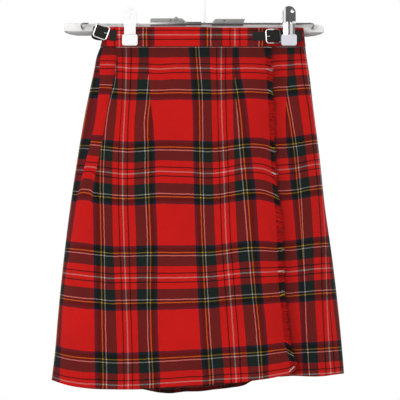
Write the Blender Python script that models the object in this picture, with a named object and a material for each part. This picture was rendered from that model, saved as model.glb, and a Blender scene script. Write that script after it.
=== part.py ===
"""A tartan wrap kilt on a clip hanger. Metres, +Z up, +X to the wearer's left, +Y to the wearer's back.

The origin is the inside of the hook's top, where the hanger hangs on a rail. Sizes below are in
millimetres, and a drop is a distance below the waistband's top edge. The cloth follows one closed
loop at each height: station 0 is the right-hand side fold of the picture plane (+X), 1 is the left
fold, and stations 1 to 2 come back behind.
"""

import math

import bmesh
import bpy
import numpy as np
from mathutils import Matrix, Vector

MM = 0.001

# Heights below the hook, in mm.
WAIST_Z = -91.0
ROD_Z = -85.0

# Cloth, in mm.
BAND_HEIGHT = 34.0
SEAM = 0.3
CLOTH = 1.2
PLEAT_CLOTH = 1.0
BAND = 2.4
LAYER = 2.8
PANEL_TOP = BAND_HEIGHT + SEAM
HEM = 606.0
BACK_SEAM = 0.055
UNDER_END = 0.9

# Grid of the panels: columns of each apron, and all panels' rows, as parts of the way from seam to hem
OVER_COLUMNS = 40
UNDER_COLUMNS = 38
LEVELS = (0, 0.05, 0.11, 0.18, 0.28, 0.4, 0.53, 0.67, 0.82, 0.92, 1)

# drop, left fold x, right fold x, front depth, back depth, width of each rounded side
OUTLINE = (
    (0, -158.5, 179.5, 9, 8, 9),
    (34, -164.5, 183.4, 10, 9, 10),
    (74, -175.5, 189.5, 15, 13, 17),
    (142, -190.5, 197.5, 22, 19, 30),
    (224, -204.5, 208, 28, 25, 42),
    (304, -216.5, 216.5, 33, 30, 52),
    (400, -228.5, 230, 38, 35, 63),
    (500, -238.5, 241.5, 42, 39, 73),
    (603, -247, 250.5, 45, 42, 80),
    (625, -249, 252.5, 46, 43, 82),
)
LENS = 0.15

# x, drop of the hem
FRONT_HEM = (
    (-247, 603),
    (-225, 608),
    (-191, 613),
    (-145, 616.5),
    (-94, 616.5),
    (-38, 613),
    (18, 610),
    (58, 606.5),
    (98, 601.5),
    (123, 598),
    (154, 591),
)
UNDER_HEM = (
    (-247, 600),
    (-100, 609),
    (0, 604),
    (100, 596),
    (154, 594),
    (217, 594.5),
    (234, 592.5),
    (252, 591),
)
BACK_HEM = (
    (-249, 603),
    (-200, 612),
    (-120, 617),
    (-94, 620),
    (-64, 625.4),
    (-48, 627.2),
    (-23, 625.5),
    (11, 624),
    (20, 620.5),
    (58, 616.5),
    (81, 612.5),
    (94, 606),
    (150, 600),
    (217, 595),
    (252, 591),
)

# drop, x of the over-apron's free edge, how far that edge stands off, how far its fringe slants down
FREE_EDGE = (
    (34, 113, 0, 1),
    (57, 117, 0.3, 2),
    (105, 120, 1.0, 2),
    (176, 124, 1.0, 1),
    (236, 123, 0.6, 1),
    (330, 126, 1.0, 1),
    (414, 129, 0.8, 1),
    (499, 137, 1.5, 2),
    (542, 142, 3.0, 4),
    (567, 149, 6.0, 9),
    (592, 154, 8.0, 2),
)
FREE_EDGE_CURL = 14.0

# Soft folds of the front: top x, top drop, bottom x, bottom drop, half width, depth
TROUGHS = (
    (-84, 40, -76, 190, 11, 1.3),
    (64, 40, 66, 108, 11, 1.2),
    (-138, 40, -136, 96, 11, 1.2),
    (152, 40, 150, 190, 11, 1.2),
    (-33, 300, -64, 368, 19, 1.5),
    (-37, 478, -60, 560, 19, 1.5),
    (2, 290, -6, 372, 17, 1.4),
    (102, 300, 113, 566, 17, 1.3),
    (-222, 300, -232, 600, 18, 1.2),
)

# Back pleats
PLEATS = 18
PLEAT_TUCK = 0.55
PLEAT_STEP = 1.3

# Fringe of the over-apron's free edge, in mm.
LOCKS = 95
STRIP_WIDTH = 2.0
LOCK_LENGTH = 8.0
LOCK_TIP = 0.45
LOCK_TIP_THICK = 0.5

# Waist clips: x, and how far the front and the back pad stand from the clip's middle plane
CLIPS = {"left": (-115.5, 6.4, 6.6), "right": (156.0, 8.1, 6.6)}
PINCH_FRONT = 4.3
PINCH_BACK = 4.2
PINCH_REACH = 26.0
PINCH_FADE = 60.0

# Leather and buckles, in mm.
TAB_THICK = 1.6
STRAP_THICK = 1.8
STRAP_HEIGHT = 16.0
TAB_HEIGHT = 15.0
BUCKLE_WIRE = 1.1
BUCKLE_WIDTH = 25.6
BUCKLE_HEIGHT = 22.8
BUCKLE_CORNER = 4.0
STRAP_FALL = 8.0
STRAP_TURN = 6.0
STRAP_PACE = 6.2
LEFT_TAB_HEIGHT = 17.5
STRAP_END = 177.5
CORNER_SPARE = 1.2

# Hanger, in mm. The bar's outline is (x, z) from its lower left corner round by the bottom, before it falls.
ROD_RADIUS = 1.9
HOOK_WIRE = 2.0
HOOK_INSIDE = 18.0
STEM_X = 11.7
COLLAR_X = -6.5
COLLAR_LENGTH = 26.0
COLLAR_RADIUS = 3.1
BAR_FRONT = 12.0
BAR_EDGE = -97.6
BAR_THICK = 9.0
BAR_FALL = 2.1
BAR_LENGTH = 445.0
BAR_OUTLINE = (
    (-228.8, -97),
    (-226.5, -100),
    (-218, -103),
    (-206, -105),
    (188, -105),
    (200, -103.5),
    (209, -101),
    (214.5, -98.5),
    (216.2, -96.5),
    (216.2, -89.5),
    (213, -86),
    (206, -84.2),
    (196, -83.6),
    (-226, -83.6),
    (-228.8, -86),
)

# Clips, in mm from the rod's middle
JAW_WIDTH = 23.0
JAW_FOOT_HALF = 9.8
JAW_THICK = 1.2
JAW_SHOULDER = -3.0
JAW_TOP = 29.5
JAW_FOOT = -18.4
JAW_WAIST = 5.8
JAW_OPEN = 11.0
JAW_HOLE = 2.8
JAW_HOLE_ACROSS = 5.4
JAW_HOLE_UP = 20.4
PAD_WIDTH = 26.5
PAD_HEIGHT = 19.2
PAD_THICK = 3.0
PAD_CORNER = 3.5
PAD_TOP = -103.7

# name: linear colour, metallic, roughness
MATERIALS = {
    "tartan wool": ((0.42, 0.02, 0.02), 0.0, 0.9),
    "waistband wool": ((0.36, 0.02, 0.02), 0.0, 0.9),
    "wool fringe": ((0.16, 0.02, 0.02), 0.0, 0.95),
    "black leather": ((0.012, 0.012, 0.013), 0.0, 0.5),
    "bright chrome": ((0.75, 0.75, 0.76), 1.0, 0.12),
    "grey bar plastic": ((0.66, 0.65, 0.64), 0.0, 0.45),
    "grey plate steel": ((0.38, 0.38, 0.38), 0.8, 0.4),
    "white pad plastic": ((0.74, 0.74, 0.79), 0.0, 0.5),
}


def clear_scene():
    for item in list(bpy.data.objects):
        bpy.data.objects.remove(item, do_unlink=True)


def material(name):
    found = bpy.data.materials.get(name)
    if found:
        return found
    colour, metallic, roughness = MATERIALS[name]
    made = bpy.data.materials.new(name)
    made.use_nodes = True
    shader = made.node_tree.nodes["Principled BSDF"]
    shader.inputs["Base Color"].default_value = (*colour, 1)
    shader.inputs["Metallic"].default_value = metallic
    shader.inputs["Roughness"].default_value = roughness
    return made


def add_mesh(name, points, faces, finish, smooth=True):
    """One object from points in mm. Its faces are turned to face out."""
    mesh = bpy.data.meshes.new(name)
    mesh.from_pydata([tuple(np.asarray(p) * MM) for p in points], [], faces)
    work = bmesh.new()
    work.from_mesh(mesh)
    bmesh.ops.recalc_face_normals(work, faces=work.faces)
    work.to_mesh(mesh)
    work.free()
    mesh.materials.append(material(finish))
    if smooth:
        mesh.shade_smooth()
        mesh.set_sharp_from_angle(angle=math.radians(40))
    made = bpy.data.objects.new(name, mesh)
    bpy.context.collection.objects.link(made)
    return made


# The hanging loop of cloth


def along(table, at):
    """The table's other columns at this value of its first one, on a smooth curve through its rows."""
    rows = np.asarray(table, float)
    keys, values = rows[:, 0], rows[:, 1:]
    at = min(max(at, keys[0]), keys[-1])
    slopes = np.gradient(values, keys, axis=0)
    i = int(np.clip(np.searchsorted(keys, at) - 1, 0, len(keys) - 2))
    span = keys[i + 1] - keys[i]
    t = (at - keys[i]) / span
    return (
        values[i] * (1 + 2 * t) * (1 - t) ** 2
        + slopes[i] * span * t * (1 - t) ** 2
        + values[i + 1] * t * t * (3 - 2 * t)
        + slopes[i + 1] * span * t * t * (t - 1)
    )


def ease(t):
    t = min(max(t, 0.0), 1.0)
    return t * t * (3 - 2 * t)


def pinched(depth, least, x, drop):
    """The loop's depth where the clips press it together."""
    fade = math.exp(-((max(drop - BAND_HEIGHT, 0) / PINCH_FADE) ** 2))
    hold = sum(np.exp(-(((x - clip[0]) / PINCH_REACH) ** 4)) for clip in CLIPS.values())
    return depth + (least - depth) * np.minimum(hold, 1) * fade


def loop(drop):
    """x and y of the closed loop at this drop, its running length, and its front half's length."""
    left, right, front, back, side = along(OUTLINE, drop)
    half = (right - left) / 2
    turn = np.linspace(0, math.pi / 2, 17)
    rounded = half - side + side * np.sin(turn)
    flat = np.linspace(half - side, side - half, 61)[1:-1]
    across = np.concatenate([rounded[::-1], flat, -rounded])
    fall = np.concatenate([np.cos(turn[::-1]), np.ones(len(flat)), np.cos(turn)])
    x = across + (left + right) / 2
    lens = 1 - LENS * (across / half) ** 2
    y_front = -pinched(front * lens, PINCH_FRONT, x, drop) * fall
    y_back = pinched(back * lens, PINCH_BACK, x, drop) * fall
    xs = np.concatenate([x, x[-2::-1]])
    ys = np.concatenate([y_front, y_back[-2::-1]])
    run = np.concatenate([[0], np.cumsum(np.hypot(np.diff(xs), np.diff(ys)))])
    return xs, ys, run, run[len(x) - 1]


def run_of(station, run, front):
    """Running length of a station, which may be below 0 or above 2."""
    turns, part = divmod(station, 2.0)
    inside = part * front if part <= 1 else front + (part - 1) * (run[-1] - front)
    return inside + turns * run[-1]


def on_loop(shape, length, out):
    """The point this far along the loop, moved out from it. Out is away from the kilt's hollow."""
    xs, ys, run, _ = shape
    around = np.array([length, length - 1.5, length + 1.5]) % run[-1]
    x = np.interp(around, run, xs)
    y = np.interp(around, run, ys)
    tangent = np.array([x[2] - x[1], y[2] - y[1]])
    tangent /= np.hypot(*tangent)
    return x[0] - tangent[1] * out, y[0] + tangent[0] * out


def relief(x, drop):
    """How far the front's soft folds sink it at this place."""
    depth = 0.0
    for top_x, top, bottom_x, bottom, width, sink in TROUGHS:
        t = (drop - top) / (bottom - top)
        if -0.15 < t < 1.15:
            middle = top_x + (bottom_x - top_x) * t
            ends = ease((t + 0.15) / 0.3) * ease((1.15 - t) / 0.3)
            depth += sink * ends * math.exp(-(((x - middle) / width) ** 2))
    return depth


def front_station(x, drop):
    """The station of the front half at this x."""
    xs, _, run, front = loop(drop)
    count = (len(xs) + 1) // 2
    return float(np.interp(-x, -xs[:count], run[:count])) / front


def back_station(x, drop):
    """The station of the back half at this x."""
    xs, _, run, front = loop(drop)
    count = (len(xs) + 1) // 2
    return 1 + (float(np.interp(x, xs[count - 1 :], run[count - 1 :])) - front) / (run[-1] - front)


def place(station, drop, out=0.0, folds=True):
    """A point of the cloth's middle surface, moved out, in mm."""
    shape = loop(drop)
    length = run_of(station, shape[2], shape[3])
    x, _ = on_loop(shape, length, 0)
    if folds and 0 < station < 1:
        out = out - relief(x, drop)
    return (*on_loop(shape, length, out), WAIST_Z - drop)


def hang(levels, stations, top, hem, out, folds=True):
    """Rows of middle points between drop top and drop hem(station, x)."""
    rows = []
    for level in levels:
        row = []
        for station in stations(level):
            drop = top + level * (HEM - top)
            for _ in range(2):
                x = place(station, drop)[0]
                drop = top + level * (hem(station, x) - top)
            row.append(place(station, drop, out(station, x, drop), folds))
        rows.append(row)
    return np.array(rows)


def hem_of(station, x, front_hem):
    return along(front_hem if 0 <= station <= 1 else BACK_HEM, x)[0]


def wall(name, rows, thick, finish):
    """A closed wall of this thickness about rows of middle points."""
    count, across = rows.shape[:2]
    step = np.diff(rows[:, :, :2], axis=1)
    step /= np.linalg.norm(step, axis=2, keepdims=True)
    before = np.concatenate([step[:, :1], step], axis=1)
    after = np.concatenate([step, step[:, -1:]], axis=1)
    mean = before + after
    mean /= np.linalg.norm(mean, axis=2, keepdims=True)
    stretch = np.minimum(1 / np.maximum((mean * after).sum(axis=2), 0.6), 1.6)
    normal = np.zeros_like(rows)
    normal[:, :, 0] = -mean[:, :, 1] * stretch
    normal[:, :, 1] = mean[:, :, 0] * stretch
    outer = (rows + normal * thick / 2).reshape(-1, 3)
    inner = (rows - normal * thick / 2).reshape(-1, 3)
    total = count * across
    faces = []
    for i in range(count - 1):
        for j in range(across - 1):
            a = i * across + j
            faces.append((a, a + 1, a + across + 1, a + across))
            faces.append((a + total + across, a + total + across + 1, a + total + 1, a + total))
    rim = [j for j in range(across)]
    rim += [i * across + across - 1 for i in range(1, count)]
    rim += [(count - 1) * across + j for j in range(across - 2, -1, -1)]
    rim += [i * across for i in range(count - 2, 0, -1)]
    for a, b in zip(rim, rim[1:] + rim[:1]):
        faces.append((a, b, b + total, a + total))
    return add_mesh(name, np.vstack([outer, inner]), faces, finish)


# Cut pieces


def free_edge(drop):
    """x, stand-off and fringe slant of the over-apron's free edge."""
    return along(FREE_EDGE, drop)


def over_out(station, x, drop):
    """The free edge stands off a little, most at its bottom corner."""
    edge, stand, _ = free_edge(drop)
    return stand * math.exp(-(((edge - x) / FREE_EDGE_CURL) ** 2)) if 0 < station < 1 else 0.0


def under_out(station, x, drop):
    """The under-apron lies below the over-apron, and comes level with it beyond the free edge."""
    if not 0 < station < 1:
        return 0.0
    beyond = 20 if drop <= BAND_HEIGHT else 35
    return -LAYER * (1 - ease((x - free_edge(drop)[0] - 10) / beyond))


def half_seam(drop):
    """Half a seam's gap, as a part of a station behind."""
    _, _, run, front = loop(drop)
    return SEAM / 2 / (run[-1] - front)


def over_apron():
    """The outer front, from its free edge round the left side. Returns its rows of middle points."""

    def stations(level):
        drop = PANEL_TOP + level * (FREE_EDGE[-1][0] - PANEL_TOP)
        start = front_station(free_edge(drop)[0], drop)
        return np.linspace(start, 1 + BACK_SEAM - half_seam(drop), OVER_COLUMNS)

    rows = hang(LEVELS, stations, PANEL_TOP, lambda s, x: hem_of(s, x, FRONT_HEM), over_out)
    wall("over_apron", rows, CLOTH, "tartan wool")
    return rows


def under_apron():
    """The inner front, from the right side seam across to the left, below the over-apron."""

    def stations(level):
        drop = PANEL_TOP + level * (HEM - PANEL_TOP)
        return np.linspace(-BACK_SEAM + half_seam(drop), UNDER_END, UNDER_COLUMNS)

    rows = hang(LEVELS, stations, PANEL_TOP, lambda s, x: hem_of(s, x, UNDER_HEM), under_out)
    wall("under_apron", rows, CLOTH, "tartan wool")


def pleat_row(drop):
    """Lengths behind from the left seam, and moves out, of one row of knife pleats."""
    _, _, run, front = loop(drop)
    behind = run[-1] - front
    start = front + BACK_SEAM * behind + SEAM / 2
    pitch = (behind * (1 - 2 * BACK_SEAM) - SEAM) / PLEATS
    path = []
    for i in range(PLEATS):
        begin = start + i * pitch
        end = begin + pitch
        first, last = i == 0, i == PLEATS - 1
        low = 0.0 if first else -PLEAT_STEP
        high = 0.0 if last else PLEAT_STEP
        path.append((begin if first else begin + 1.4, low))
        if last:
            path.append((end, high))
            continue
        inner = end - PLEAT_TUCK * pitch
        deep = high - (high - low) * PLEAT_TUCK
        path += [(end, high), (end, high - PLEAT_STEP)]
        path += [(inner, deep - PLEAT_STEP), (inner, deep - 2 * PLEAT_STEP)]
    return path


def back_pleats():
    rows = []
    for level in LEVELS:
        guide = PANEL_TOP + level * (HEM - PANEL_TOP)
        shape = loop(guide)
        across = [on_loop(shape, length, 0)[0] for length, _ in pleat_row(guide)]
        row = []
        for i, x in enumerate(across):
            drop = PANEL_TOP + level * (along(BACK_HEM, x)[0] - PANEL_TOP)
            length, out = pleat_row(drop)[i]
            row.append((*on_loop(loop(drop), length, out), WAIST_Z - drop))
        rows.append(row)
    wall("back_pleats", np.array(rows), PLEAT_CLOTH, "tartan wool")


def waistbands():
    """Three bands above the three panels, seamed like them."""
    start = front_station(FREE_EDGE[0][1] + 1.6, BAND_HEIGHT / 2)
    joint = half_seam(BAND_HEIGHT / 2)
    left, right = 1 + BACK_SEAM, 2 - BACK_SEAM
    # station at each end, how far out, columns
    spans = {
        "waistband_over": (start, left - joint, over_out, 56),
        "waistband_under": (right - 2 + joint, UNDER_END, under_out, 64),
        "waistband_back": (left + joint, right - joint, lambda s, x, d: 0.0, 48),
    }
    for name, (begin, end, out, count) in spans.items():
        across = np.linspace(begin, end, count)
        rows = hang((0, 1), lambda level: across, 0, lambda s, x: BAND_HEIGHT, out, folds=False)
        wall(name, rows, BAND, "waistband wool")


def fringe(apron):
    """Locks on a narrow strip, 0.3 mm off the over-apron's free edge."""
    edge = apron[:, 0]
    away = edge - apron[:, 1]
    away[:, 2] = 0
    away /= np.linalg.norm(away, axis=1, keepdims=True)
    out = np.stack([away[:, 1], -away[:, 0], np.zeros(len(away))], axis=1)
    at = np.interp(np.linspace(0, 1, LOCKS + 1), LEVELS, range(len(LEVELS)))

    def between(values):
        values = np.asarray(values, float).reshape(len(apron), -1)
        return np.stack([np.interp(at, range(len(apron)), column) for column in values.T], axis=1)

    edge, away, out = between(edge), between(away), between(out)
    slant = between([free_edge(WAIST_Z - z)[2] for z in apron[:, 0, 2]])
    down = np.array([0, 0, -1.0])
    near, root = edge + away * SEAM, edge + away * (SEAM + STRIP_WIDTH)
    tip = root + away * LOCK_LENGTH + down * slant
    half, thin = out * CLOTH / 2, out * LOCK_TIP_THICK / 2
    strip = np.stack([near + half, root + half, root - half, near - half], axis=1)
    points = [tuple(p) for p in strip.reshape(-1, 3)]
    faces = [(0, 1, 2, 3), tuple(4 * LOCKS + k for k in (3, 2, 1, 0))]
    for k in range(LOCKS):
        a, b = 4 * k, 4 * (k + 1)
        faces += [(a, b, b + 1, a + 1), (a + 2, b + 2, b + 3, a + 3), (a + 3, b + 3, b, a)]
        middle, reach = (tip[k] + tip[k + 1]) / 2, (tip[k + 1] - tip[k]) / 2 * LOCK_TIP
        first = len(points)
        points += [tuple(middle - reach + thin[k]), tuple(middle + reach + thin[k])]
        points += [tuple(middle + reach - thin[k]), tuple(middle - reach - thin[k])]
        base = (a + 1, b + 1, b + 2, a + 2)
        for n in range(4):
            faces.append((base[n], base[(n + 1) % 4], first + (n + 1) % 4, first + n))
        faces.append((first, first + 1, first + 2, first + 3))
    add_mesh("over_apron_fringe", points, faces, "wool fringe")


# Leather and buckles


def ribbon(name, middles, height, tilt, thick, finish):
    """A flat strip on edge: its middle line, its height, and how far its ends lean at each point."""
    middles = np.array(middles, float)
    rise = np.zeros_like(middles)
    rise[:, 0] = np.sin(tilt) * height / 2
    rise[:, 2] = np.cos(tilt) * height / 2
    wall(name, np.array([middles + rise, middles - rise]), thick, finish)


def band_strip(name, stations, drop, height, out, thick):
    """A strip of leather that lies on the waistband, moved out by out(x)."""
    rows = []
    for edge in (drop - height / 2, drop + height / 2):
        row = []
        for station in stations:
            x = place(station, edge)[0]
            row.append(place(station, edge, out(x), False))
        rows.append(row)
    wall(name, np.array(rows), thick, "black leather")
    return rows


def band_line(xs, drop, out, back=False):
    """Middle points on the waistband at these x, moved out by out(x)."""
    points = []
    for x in xs:
        station = back_station(x, drop) if back else front_station(x, drop)
        points.append(place(station, drop, out(x), False))
    return points


def rounded_frame(width, height, corner, steps=4):
    """Corner-rounded rectangle as (across, up) points."""
    points = []
    for n, (sx, sy) in enumerate(((1, 1), (-1, 1), (-1, -1), (1, -1))):
        for k in range(steps + 1):
            angle = math.pi / 2 * (n + k / steps)
            points.append(
                (
                    sx * (width / 2 - corner) + corner * math.cos(angle),
                    sy * (height / 2 - corner) + corner * math.sin(angle),
                )
            )
    return points


def tube(name, points, radius, finish, closed=False, rounding=2):
    data = bpy.data.curves.new(name, "CURVE")
    data.dimensions = "3D"
    data.bevel_depth = radius * MM
    data.bevel_resolution = rounding
    data.use_fill_caps = True
    spline = data.splines.new("POLY")
    spline.points.add(len(points) - 1)
    for point, place_at in zip(spline.points, points):
        point.co = (*(np.asarray(place_at) * MM), 1)
    spline.use_cyclic_u = closed
    spline.use_smooth = True
    data.materials.append(material(finish))
    made = bpy.data.objects.new(name, data)
    bpy.context.collection.objects.link(made)
    return made


def right_fastening():
    """The over-apron's buckle at +X: a tab on its waistband, and a strap on the under-apron's."""
    drop = 16.0
    tab_out = BAND / 2 + SEAM + TAB_THICK / 2
    tab = np.linspace(front_station(115.0, drop), front_station(93.5, drop), 5)
    band_strip("tab_right", tab, drop, TAB_HEIGHT, lambda x: tab_out, TAB_THICK)

    def strap_out(x):
        return under_out(0.5, x, drop) + BAND / 2 + SEAM + STRAP_THICK / 2

    def spared_out(x):
        return strap_out(x) + CORNER_SPARE * ease((x - 169) / 7)

    strap = np.linspace(front_station(STRAP_END, drop), front_station(118.6, drop), 30)
    band_strip("strap_right", strap, drop, STRAP_HEIGHT, spared_out, STRAP_THICK)

    def frame_out(x):
        return strap_out(x) + STRAP_THICK / 2 + SEAM + BUCKLE_WIRE

    middle = 128.4
    ring = []
    for across, up in rounded_frame(BUCKLE_WIDTH - 2 * BUCKLE_WIRE, BUCKLE_HEIGHT, BUCKLE_CORNER):
        x = middle + across
        ring.append(place(front_station(x, drop), drop - up, frame_out(x), False))
    tube("buckle_right", ring, BUCKLE_WIRE, "bright chrome", closed=True)
    start = middle - BUCKLE_WIDTH / 2 + 2 * BUCKLE_WIRE + 0.3
    prong = band_line((start, start + 2.5, start + 5), drop, frame_out)
    tube("prong_right", prong, 0.7, "bright chrome")


def left_fastening():
    """The under-apron's strap end comes out here, to a buckle that leans past the side fold."""
    lean = math.radians(20)
    tab_out = BAND / 2 + SEAM + TAB_THICK / 2
    tab = np.linspace(front_station(-137, 15), front_station(-150.6, 15), 5)
    rows = band_strip("tab_left", tab, 15, LEFT_TAB_HEIGHT, lambda x: tab_out, TAB_THICK)
    front_y = rows[0][-1][1] - 0.6
    steps = [k * STRAP_PACE for k in range(4)]
    straight = [(-154.3 - step, front_y, WAIST_Z - 11.7 + step * math.tan(lean)) for step in steps]
    end_x, _, end_z = straight[-1]
    back_out = BAND / 2 + SEAM + STRAP_THICK / 2 + 0.2
    behind = band_line((-152, -147, -141, -134), 14, lambda x: back_out, back=True)
    radius = (behind[0][1] - front_y) / 2
    bend = []
    for k in range(1, 8):
        angle = math.pi * k / 8
        bend.append(
            (
                end_x - STRAP_TURN * math.sin(angle),
                front_y + radius * (1 - math.cos(angle)),
                end_z - STRAP_FALL * angle / math.pi,
            )
        )
    middles = straight + bend + [(end_x + 4, behind[0][1], end_z - STRAP_FALL - 0.5)]
    heights = np.linspace(end_z - STRAP_FALL - 1, WAIST_Z - 17, len(behind))
    middles += [(x, y, z) for (x, y, _), z in zip(behind, heights)]
    tilt = np.concatenate([np.full(4, lean), np.linspace(lean, 0, 7), np.zeros(len(behind) + 1)])
    ribbon("strap_left", middles, STRAP_HEIGHT, tilt, STRAP_THICK, "black leather")
    frame_y = front_y - TAB_THICK / 2 - 0.4 - BUCKLE_WIRE
    centre = (-164.0, WAIST_Z - 8.2)
    ring = []
    for across, up in rounded_frame(BUCKLE_WIDTH - 2 * BUCKLE_WIRE, BUCKLE_HEIGHT, BUCKLE_CORNER):
        x = centre[0] + across * math.cos(lean) + up * math.sin(lean)
        z = centre[1] - across * math.sin(lean) + up * math.cos(lean)
        ring.append((x, frame_y, z))
    tube("buckle_left", ring, BUCKLE_WIRE, "bright chrome", closed=True)
    reach = BUCKLE_WIDTH / 2 - 2 * BUCKLE_WIRE - 0.3
    prong = [
        (centre[0] + k * math.cos(lean), frame_y, centre[1] - k * math.sin(lean))
        for k in (reach, reach - 2.5, reach - 5)
    ]
    tube("prong_left", prong, 0.7, "bright chrome")


# Hanger


def prism(name, outline, front, back, finish, smooth=False):
    """A plate from (x, z) corners. front and back give y, each a number or a function of z."""
    front_y = front if callable(front) else lambda z: front
    back_y = back if callable(back) else lambda z: back
    count = len(outline)
    points = [(x, front_y(z), z) for x, z in outline] + [(x, back_y(z), z) for x, z in outline]
    faces = [tuple(range(count)), tuple(range(2 * count - 1, count - 1, -1))]
    for k in range(count):
        following = (k + 1) % count
        faces.append((k, following, following + count, k + count))
    return add_mesh(name, points, faces, finish, smooth)


def hanger_bar():
    """A flat bar, a little lower at +X. Its front's lower part slopes back, and tapers away at both ends."""
    outline = [(x, z - BAR_FALL * (x - BAR_OUTLINE[0][0]) / BAR_LENGTH) for x, z in BAR_OUTLINE]
    points = []
    for y, lowest in ((BAR_FRONT, BAR_EDGE), (BAR_FRONT + BAR_THICK / 2, -200), (BAR_FRONT + BAR_THICK, -200)):
        for (x, z), (_, level) in zip(outline, BAR_OUTLINE):
            points.append((x, y, z + max(lowest - level, 0)))
    count = len(outline)
    faces = [tuple(range(count)), tuple(range(3 * count - 1, 2 * count - 1, -1))]
    for ring in range(2):
        for k in range(count):
            a = ring * count + k
            b = ring * count + (k + 1) % count
            faces.append((a, b, b + count, a + count))
    add_mesh("hanger_bar", points, faces, "grey bar plastic")


def hanger_plates():
    """Two small plates on the bar's front, showing above the rod."""
    top, bottom = -75.6, -88.3
    plates = {
        "hanger_plate_left": (
            (-81, bottom),
            (-81, top - 2),
            (-79, top),
            (-27, top),
            (-19.5, top - 6),
            (-19.5, bottom),
        ),
        "hanger_plate_right": (
            (24, bottom),
            (24, top - 8),
            (30, top - 1),
            (81.5, top - 1),
            (78, top - 8),
            (78, bottom),
        ),
    }
    for name, outline in plates.items():
        prism(name, outline, BAR_FRONT - 2.3, BAR_FRONT - SEAM, "grey plate steel")


def hanger_rod():
    """The rod in front of the bar. Its ends turn down and back to the bar's face."""
    bend = [(0, 0, 0), (3, 0.8, -0.6), (4.6, 3.0, -2.5), (4.0, 6.5, -6.0), (2.4, 10.4, -9.2)]
    right = [(193.4 + x, y, ROD_Z + z) for x, y, z in bend]
    left = [(-194.0 - x, y, ROD_Z + z) for x, y, z in bend]
    middle = [(x, 0, ROD_Z) for x in np.linspace(-150, 150, 7)]
    tube("hanger_rod", left[::-1] + middle + right, ROD_RADIUS, "bright chrome")


def hanger_hook():
    """A plain wire hook whose stem stands on the rod, and the sleeve beside it."""
    radius = HOOK_INSIDE + HOOK_WIRE
    first, last = math.radians(200), math.radians(-40)
    line = []
    for angle in np.linspace(first, last, 17):
        line.append((radius * math.cos(angle), 0, -HOOK_INSIDE + radius * math.sin(angle)))
    start, way = np.array(line[-1]), np.array((math.sin(last), 0, -math.cos(last)))
    end, down = np.array((STEM_X, 0, -54.0)), np.array((0, 0, -1.0))
    reach = 24.0
    for t in np.linspace(0, 1, 9)[1:]:
        point = start * (1 + 2 * t) * (1 - t) ** 2 + way * reach * t * (1 - t) ** 2
        point = point + end * t * t * (3 - 2 * t) + down * reach * t * t * (t - 1)
        line.append(tuple(point))
    line += [(STEM_X, 0, -66), (STEM_X, 0, ROD_Z + ROD_RADIUS + SEAM)]
    tube("hanger_hook", line, HOOK_WIRE, "bright chrome")
    ring("hook_collar", COLLAR_X, COLLAR_LENGTH, ROD_RADIUS + SEAM, COLLAR_RADIUS, "bright chrome")


def ring(name, x, length, inner, outer, finish, sides=16):
    """A sleeve on the rod."""
    points = []
    for end in (-1, 1):
        for radius in (inner, outer):
            for k in range(sides):
                angle = 2 * math.pi * k / sides
                points.append(
                    (x + end * length / 2, radius * math.cos(angle), ROD_Z + radius * math.sin(angle))
                )
    faces = []
    for k in range(sides):
        n = (k + 1) % sides
        faces += [
            (k, n, sides + n, sides + k),
            (2 * sides + k, 3 * sides + k, 3 * sides + n, 2 * sides + n),
            (k, 2 * sides + k, 2 * sides + n, n),
            (sides + k, sides + n, 3 * sides + n, 3 * sides + k),
        ]
    add_mesh(name, points, faces, finish)


def jaw(name, x, spread):
    """A steel plate with a rounded lever above the rod and a narrower foot below, bent at the rod."""
    radius = JAW_WIDTH / 2
    turns = [math.pi * k / 12 for k in range(13)]
    lever = [(radius * math.cos(a), JAW_TOP - radius + radius * math.sin(a)) for a in turns]
    corners = ((-1, JAW_SHOULDER), (-1, JAW_FOOT), (1, JAW_FOOT), (1, JAW_SHOULDER))
    foot = [(side * JAW_FOOT_HALF, height) for side, height in corners]
    outline = [(radius, 0), *lever, (-radius, 0), *foot]
    half = JAW_THICK / 2
    points = [(x + px, spread(pz) + side, ROD_Z + pz) for side in (-half, half) for px, pz in outline]
    count = len(outline)
    upper = list(range(len(lever) + 2))
    lower = [len(lever) + 1, *range(len(lever) + 2, count), 0]
    faces = [upper, lower, [count + k for k in upper[::-1]], [count + k for k in lower[::-1]]]
    faces += [(k, (k + 1) % count, (k + 1) % count + count, k + count) for k in range(count)]
    return add_mesh(name, points, faces, "bright chrome")


def jaw_cutter(name, x):
    """The round hole near the lever's top."""
    mesh = bpy.data.meshes.new(name)
    work = bmesh.new()
    hole_at = Vector((x + JAW_HOLE_ACROSS, 0, ROD_Z + JAW_HOLE_UP)) * MM
    bmesh.ops.create_cone(
        work,
        cap_ends=True,
        segments=16,
        radius1=JAW_HOLE * MM,
        radius2=JAW_HOLE * MM,
        depth=80 * MM,
        matrix=Matrix.Translation(hole_at) @ Matrix.Rotation(math.pi / 2, 4, "X"),
    )
    bmesh.ops.recalc_face_normals(work, faces=work.faces)
    work.to_mesh(mesh)
    work.free()
    cutter = bpy.data.objects.new(name, mesh)
    bpy.context.collection.objects.link(cutter)
    cutter.hide_render = True
    cutter.display_type = "WIRE"
    return cutter


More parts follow.
